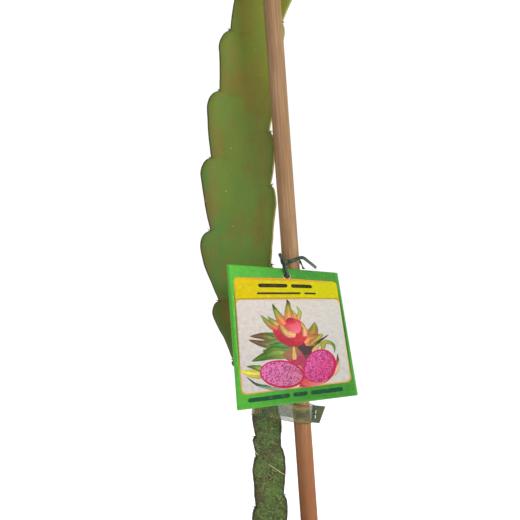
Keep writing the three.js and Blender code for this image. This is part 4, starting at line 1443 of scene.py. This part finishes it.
def card_print():
    paint = Paint("printed_card")
    spot = paint.attribute("flat", "Vector")
    paint.colour = paint.attribute("print", "Color")
    seeded = paint.attribute("seeded")
    bright = paint.noise(1.3, 3, 0.6, place=spot).rise(0.5, 0.68)
    paint.coat(seeded * bright * 0.55, (236, 160, 200))
    paint.coat(seeded * paint.cells(0.95, spot).rise(0.5, 0.3) * 0.85, (88, 36, 84))
    mottle = paint.noise(0.35, 4, 0.6, place=spot)
    paint.coat(mottle.rise(0.5, 0.75) * 0.05, (250, 250, 240))
    paint.coat(paint.noise(0.12, 5, 0.7, place=spot).rise(0.56, 0.75) * 0.12, (120, 100, 70))
    scratch = paint.noise(1, 3, 0.6, (0.25, 5, 1), spot).rise(0.66, 0.74)
    height = paint.noise(0.08, 3, 0.5, place=spot) + scratch * 0.05
    return paint.finish(0.4 + mottle * 0.12 + scratch * 0.15, height, 0.0006, Specular_IOR_Level=0.12)


fitted(card_body(card_print()), "label_card", "label_card")


# ---- Card tie --------------------------------------------------------------------------------
# A twist tie: a fine wire inside a flat ribbon of dark green plastic. It goes round the stake and
# down through the card's hole, and its two ends are twisted together in front of the card.

TIE_HEIGHT = 250
TIE_HUG = STAKE_RADIUS + 0.9


def tie_plastic():
    paint = Paint("tie_plastic")
    rub = paint.noise(500, 4, 0.6)
    paint.colour = paint.mix(rub.rise(0.4, 0.7), (28, 50, 32), (66, 88, 58))
    return paint.finish(0.4 + rub * 0.2, rub, 0.0001)


def round_stake(degrees, rise, hug=TIE_HUG):
    angle = math.radians(degrees)
    out = Vector((math.cos(angle), math.sin(angle), 0))
    return stake_centre(TIE_HEIGHT + rise) + out * hug, out


def near_stake(x, y, rise, way=(0, -1, 0)):
    return stake_centre(TIE_HEIGHT + rise) + Vector((x, y, 0)) * 7.5, Vector(way)


def in_hole(rise, out, way, side=0):
    return card_point(CARD_HOLE[0] + side, CARD_HOLE[1] + rise, out), CARD_TURN @ Vector(way)


def twisted(part):
    """One of the two strands between the hole and the stake, from the top down."""
    top = near_stake(-0.62, -1.25, -1.2)[0]
    foot = card_point(CARD_HOLE[0], CARD_HOLE[1] + 0.2, 1.3)
    line = (foot - top).normalized()
    across = line.cross(Vector((0, -1, 0))).normalized()
    front = across.cross(line)
    found = []
    for k in range(8):
        t = k / 7
        angle = math.radians(80 + 430 * t) + math.pi * part
        out = across * math.cos(angle) + front * math.sin(angle)
        found.append((top.lerp(foot, t) + out * 0.62, out))
    return found


down = (0, 1, 0)
main_strand = [
    near_stake(2.25, -0.85, -5.4, (0.4, -0.8, 0.5)), near_stake(1.65, -0.98, -1.6, (0.4, -0.8, 0.4)),
    near_stake(1.05, -1.0, 1.6, (0.3, -0.9, 0.1)), round_stake(-62, 0.4), round_stake(-90, -1.0),
    round_stake(-112, -1.2), *twisted(0), in_hole(0.7, 0, down), in_hole(1.4, -1.35, (0, 0, -1), -0.8),
    in_hole(5, -1.8, (0, 0, -1)), round_stake(-158, -1.5), round_stake(-190, 0.4), round_stake(-230, 1.2),
    round_stake(-270, 1.2), round_stake(-310, 0.6), round_stake(-336, -1.6, TIE_HUG + 0.5),
    near_stake(1.16, -0.2, -6.2, (0.3, -0.9, 0)),
]
short_strand = [
    near_stake(-1.02, -0.92, 4.4, (-0.6, -0.8, 0)), near_stake(-0.86, -1.08, 1.6, (-0.5, -0.9, 0)),
    *twisted(1), in_hole(-0.6, 0.4, down), in_hole(-0.5, -0.8, down), in_hole(0.6, -1.35, (0, 0, -1), 1.5),
]
ribbon = [
    (-0.14, 1.15), (-0.2, 0.6), (-0.36, 0.3), (-0.36, -0.3), (-0.2, -0.6), (-0.14, -1.15), (0.14, -1.15),
    (0.2, -0.6), (0.36, -0.3), (0.36, 0.3), (0.2, 0.6), (0.14, 1.15),
]
tie = swept("twist_tie", [main_strand, short_strand], closed_loop("tie_section", ribbon), tie_plastic())
fitted(tie, "label_tie", "label_tie")


# ---- Studio ----------------------------------------------------------------------------------
# A wide pale floor and a pale surround for the stand-in studio, with three soft lamps, the
# strongest from the front right, and the camera in front of the card.

WHITE_LIGHT = (1.0, 1.0, 1.0, 1.0)
FLOOR_HALF = 12


def floor_paint():
    paint = Paint("studio_floor")
    paint.colour = paint.mix(paint.noise(3, 4), (236, 236, 236), (242, 242, 241))
    return paint.finish(0.9, Emission_Color=WHITE_LIGHT, Emission_Strength=0.72)


corners = [(x * FLOOR_HALF, y * FLOOR_HALF, 0) for x, y in ((-1, -1), (1, -1), (1, 1), (-1, 1))]
floor = solid("studio_floor", corners, [(0, 1, 2, 3)], floor_paint())
floor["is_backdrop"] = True

world = bpy.data.worlds.new("pale_surround")
world.use_nodes = True
sky = Wiring(world.node_tree)
surround = world.node_tree.nodes["Background"]
sky.put(0.4 + sky.node("ShaderNodeLightPath", out="Is Camera Ray") * 0.65, surround.inputs["Strength"])
sky.put(WHITE_LIGHT, surround.inputs["Color"])
bpy.context.scene.world = world

MIDDLE = Vector((-0.02, 0, 0.38))
for name, place, size, power in (
    ("key_lamp", (1.15, -0.8, 1.05), 0.6, 20.5),
    ("fill_lamp", (-0.5, -1.4, 0.8), 1.0, 2.6),
    ("back_lamp", (0.5, 1.2, 1.1), 0.8, 4.0),
):
    lamp = bpy.data.lights.new(name, "AREA")
    lamp.size = size
    lamp.energy = power
    holder = placed(name, lamp)
    holder.location = place
    holder.rotation_euler = (MIDDLE - Vector(place)).to_track_quat("-Z", "Y").to_euler()

lens = bpy.data.cameras.new("camera")
lens.lens = 59.34
lens.sensor_width = 36
lens.clip_start = 0.01
camera = placed("camera", lens)
camera.location = (-0.021, -0.6, 0.382)
camera.rotation_euler = (math.radians(90), 0, 0)
bpy.context.scene.camera = camera
bpy.context.scene.view_settings.view_transform = "Standard"

sizes = {
    "cad_box": [list(corner) for corner in cad_box],
    "visual_box": [list(corner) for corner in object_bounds()],
}
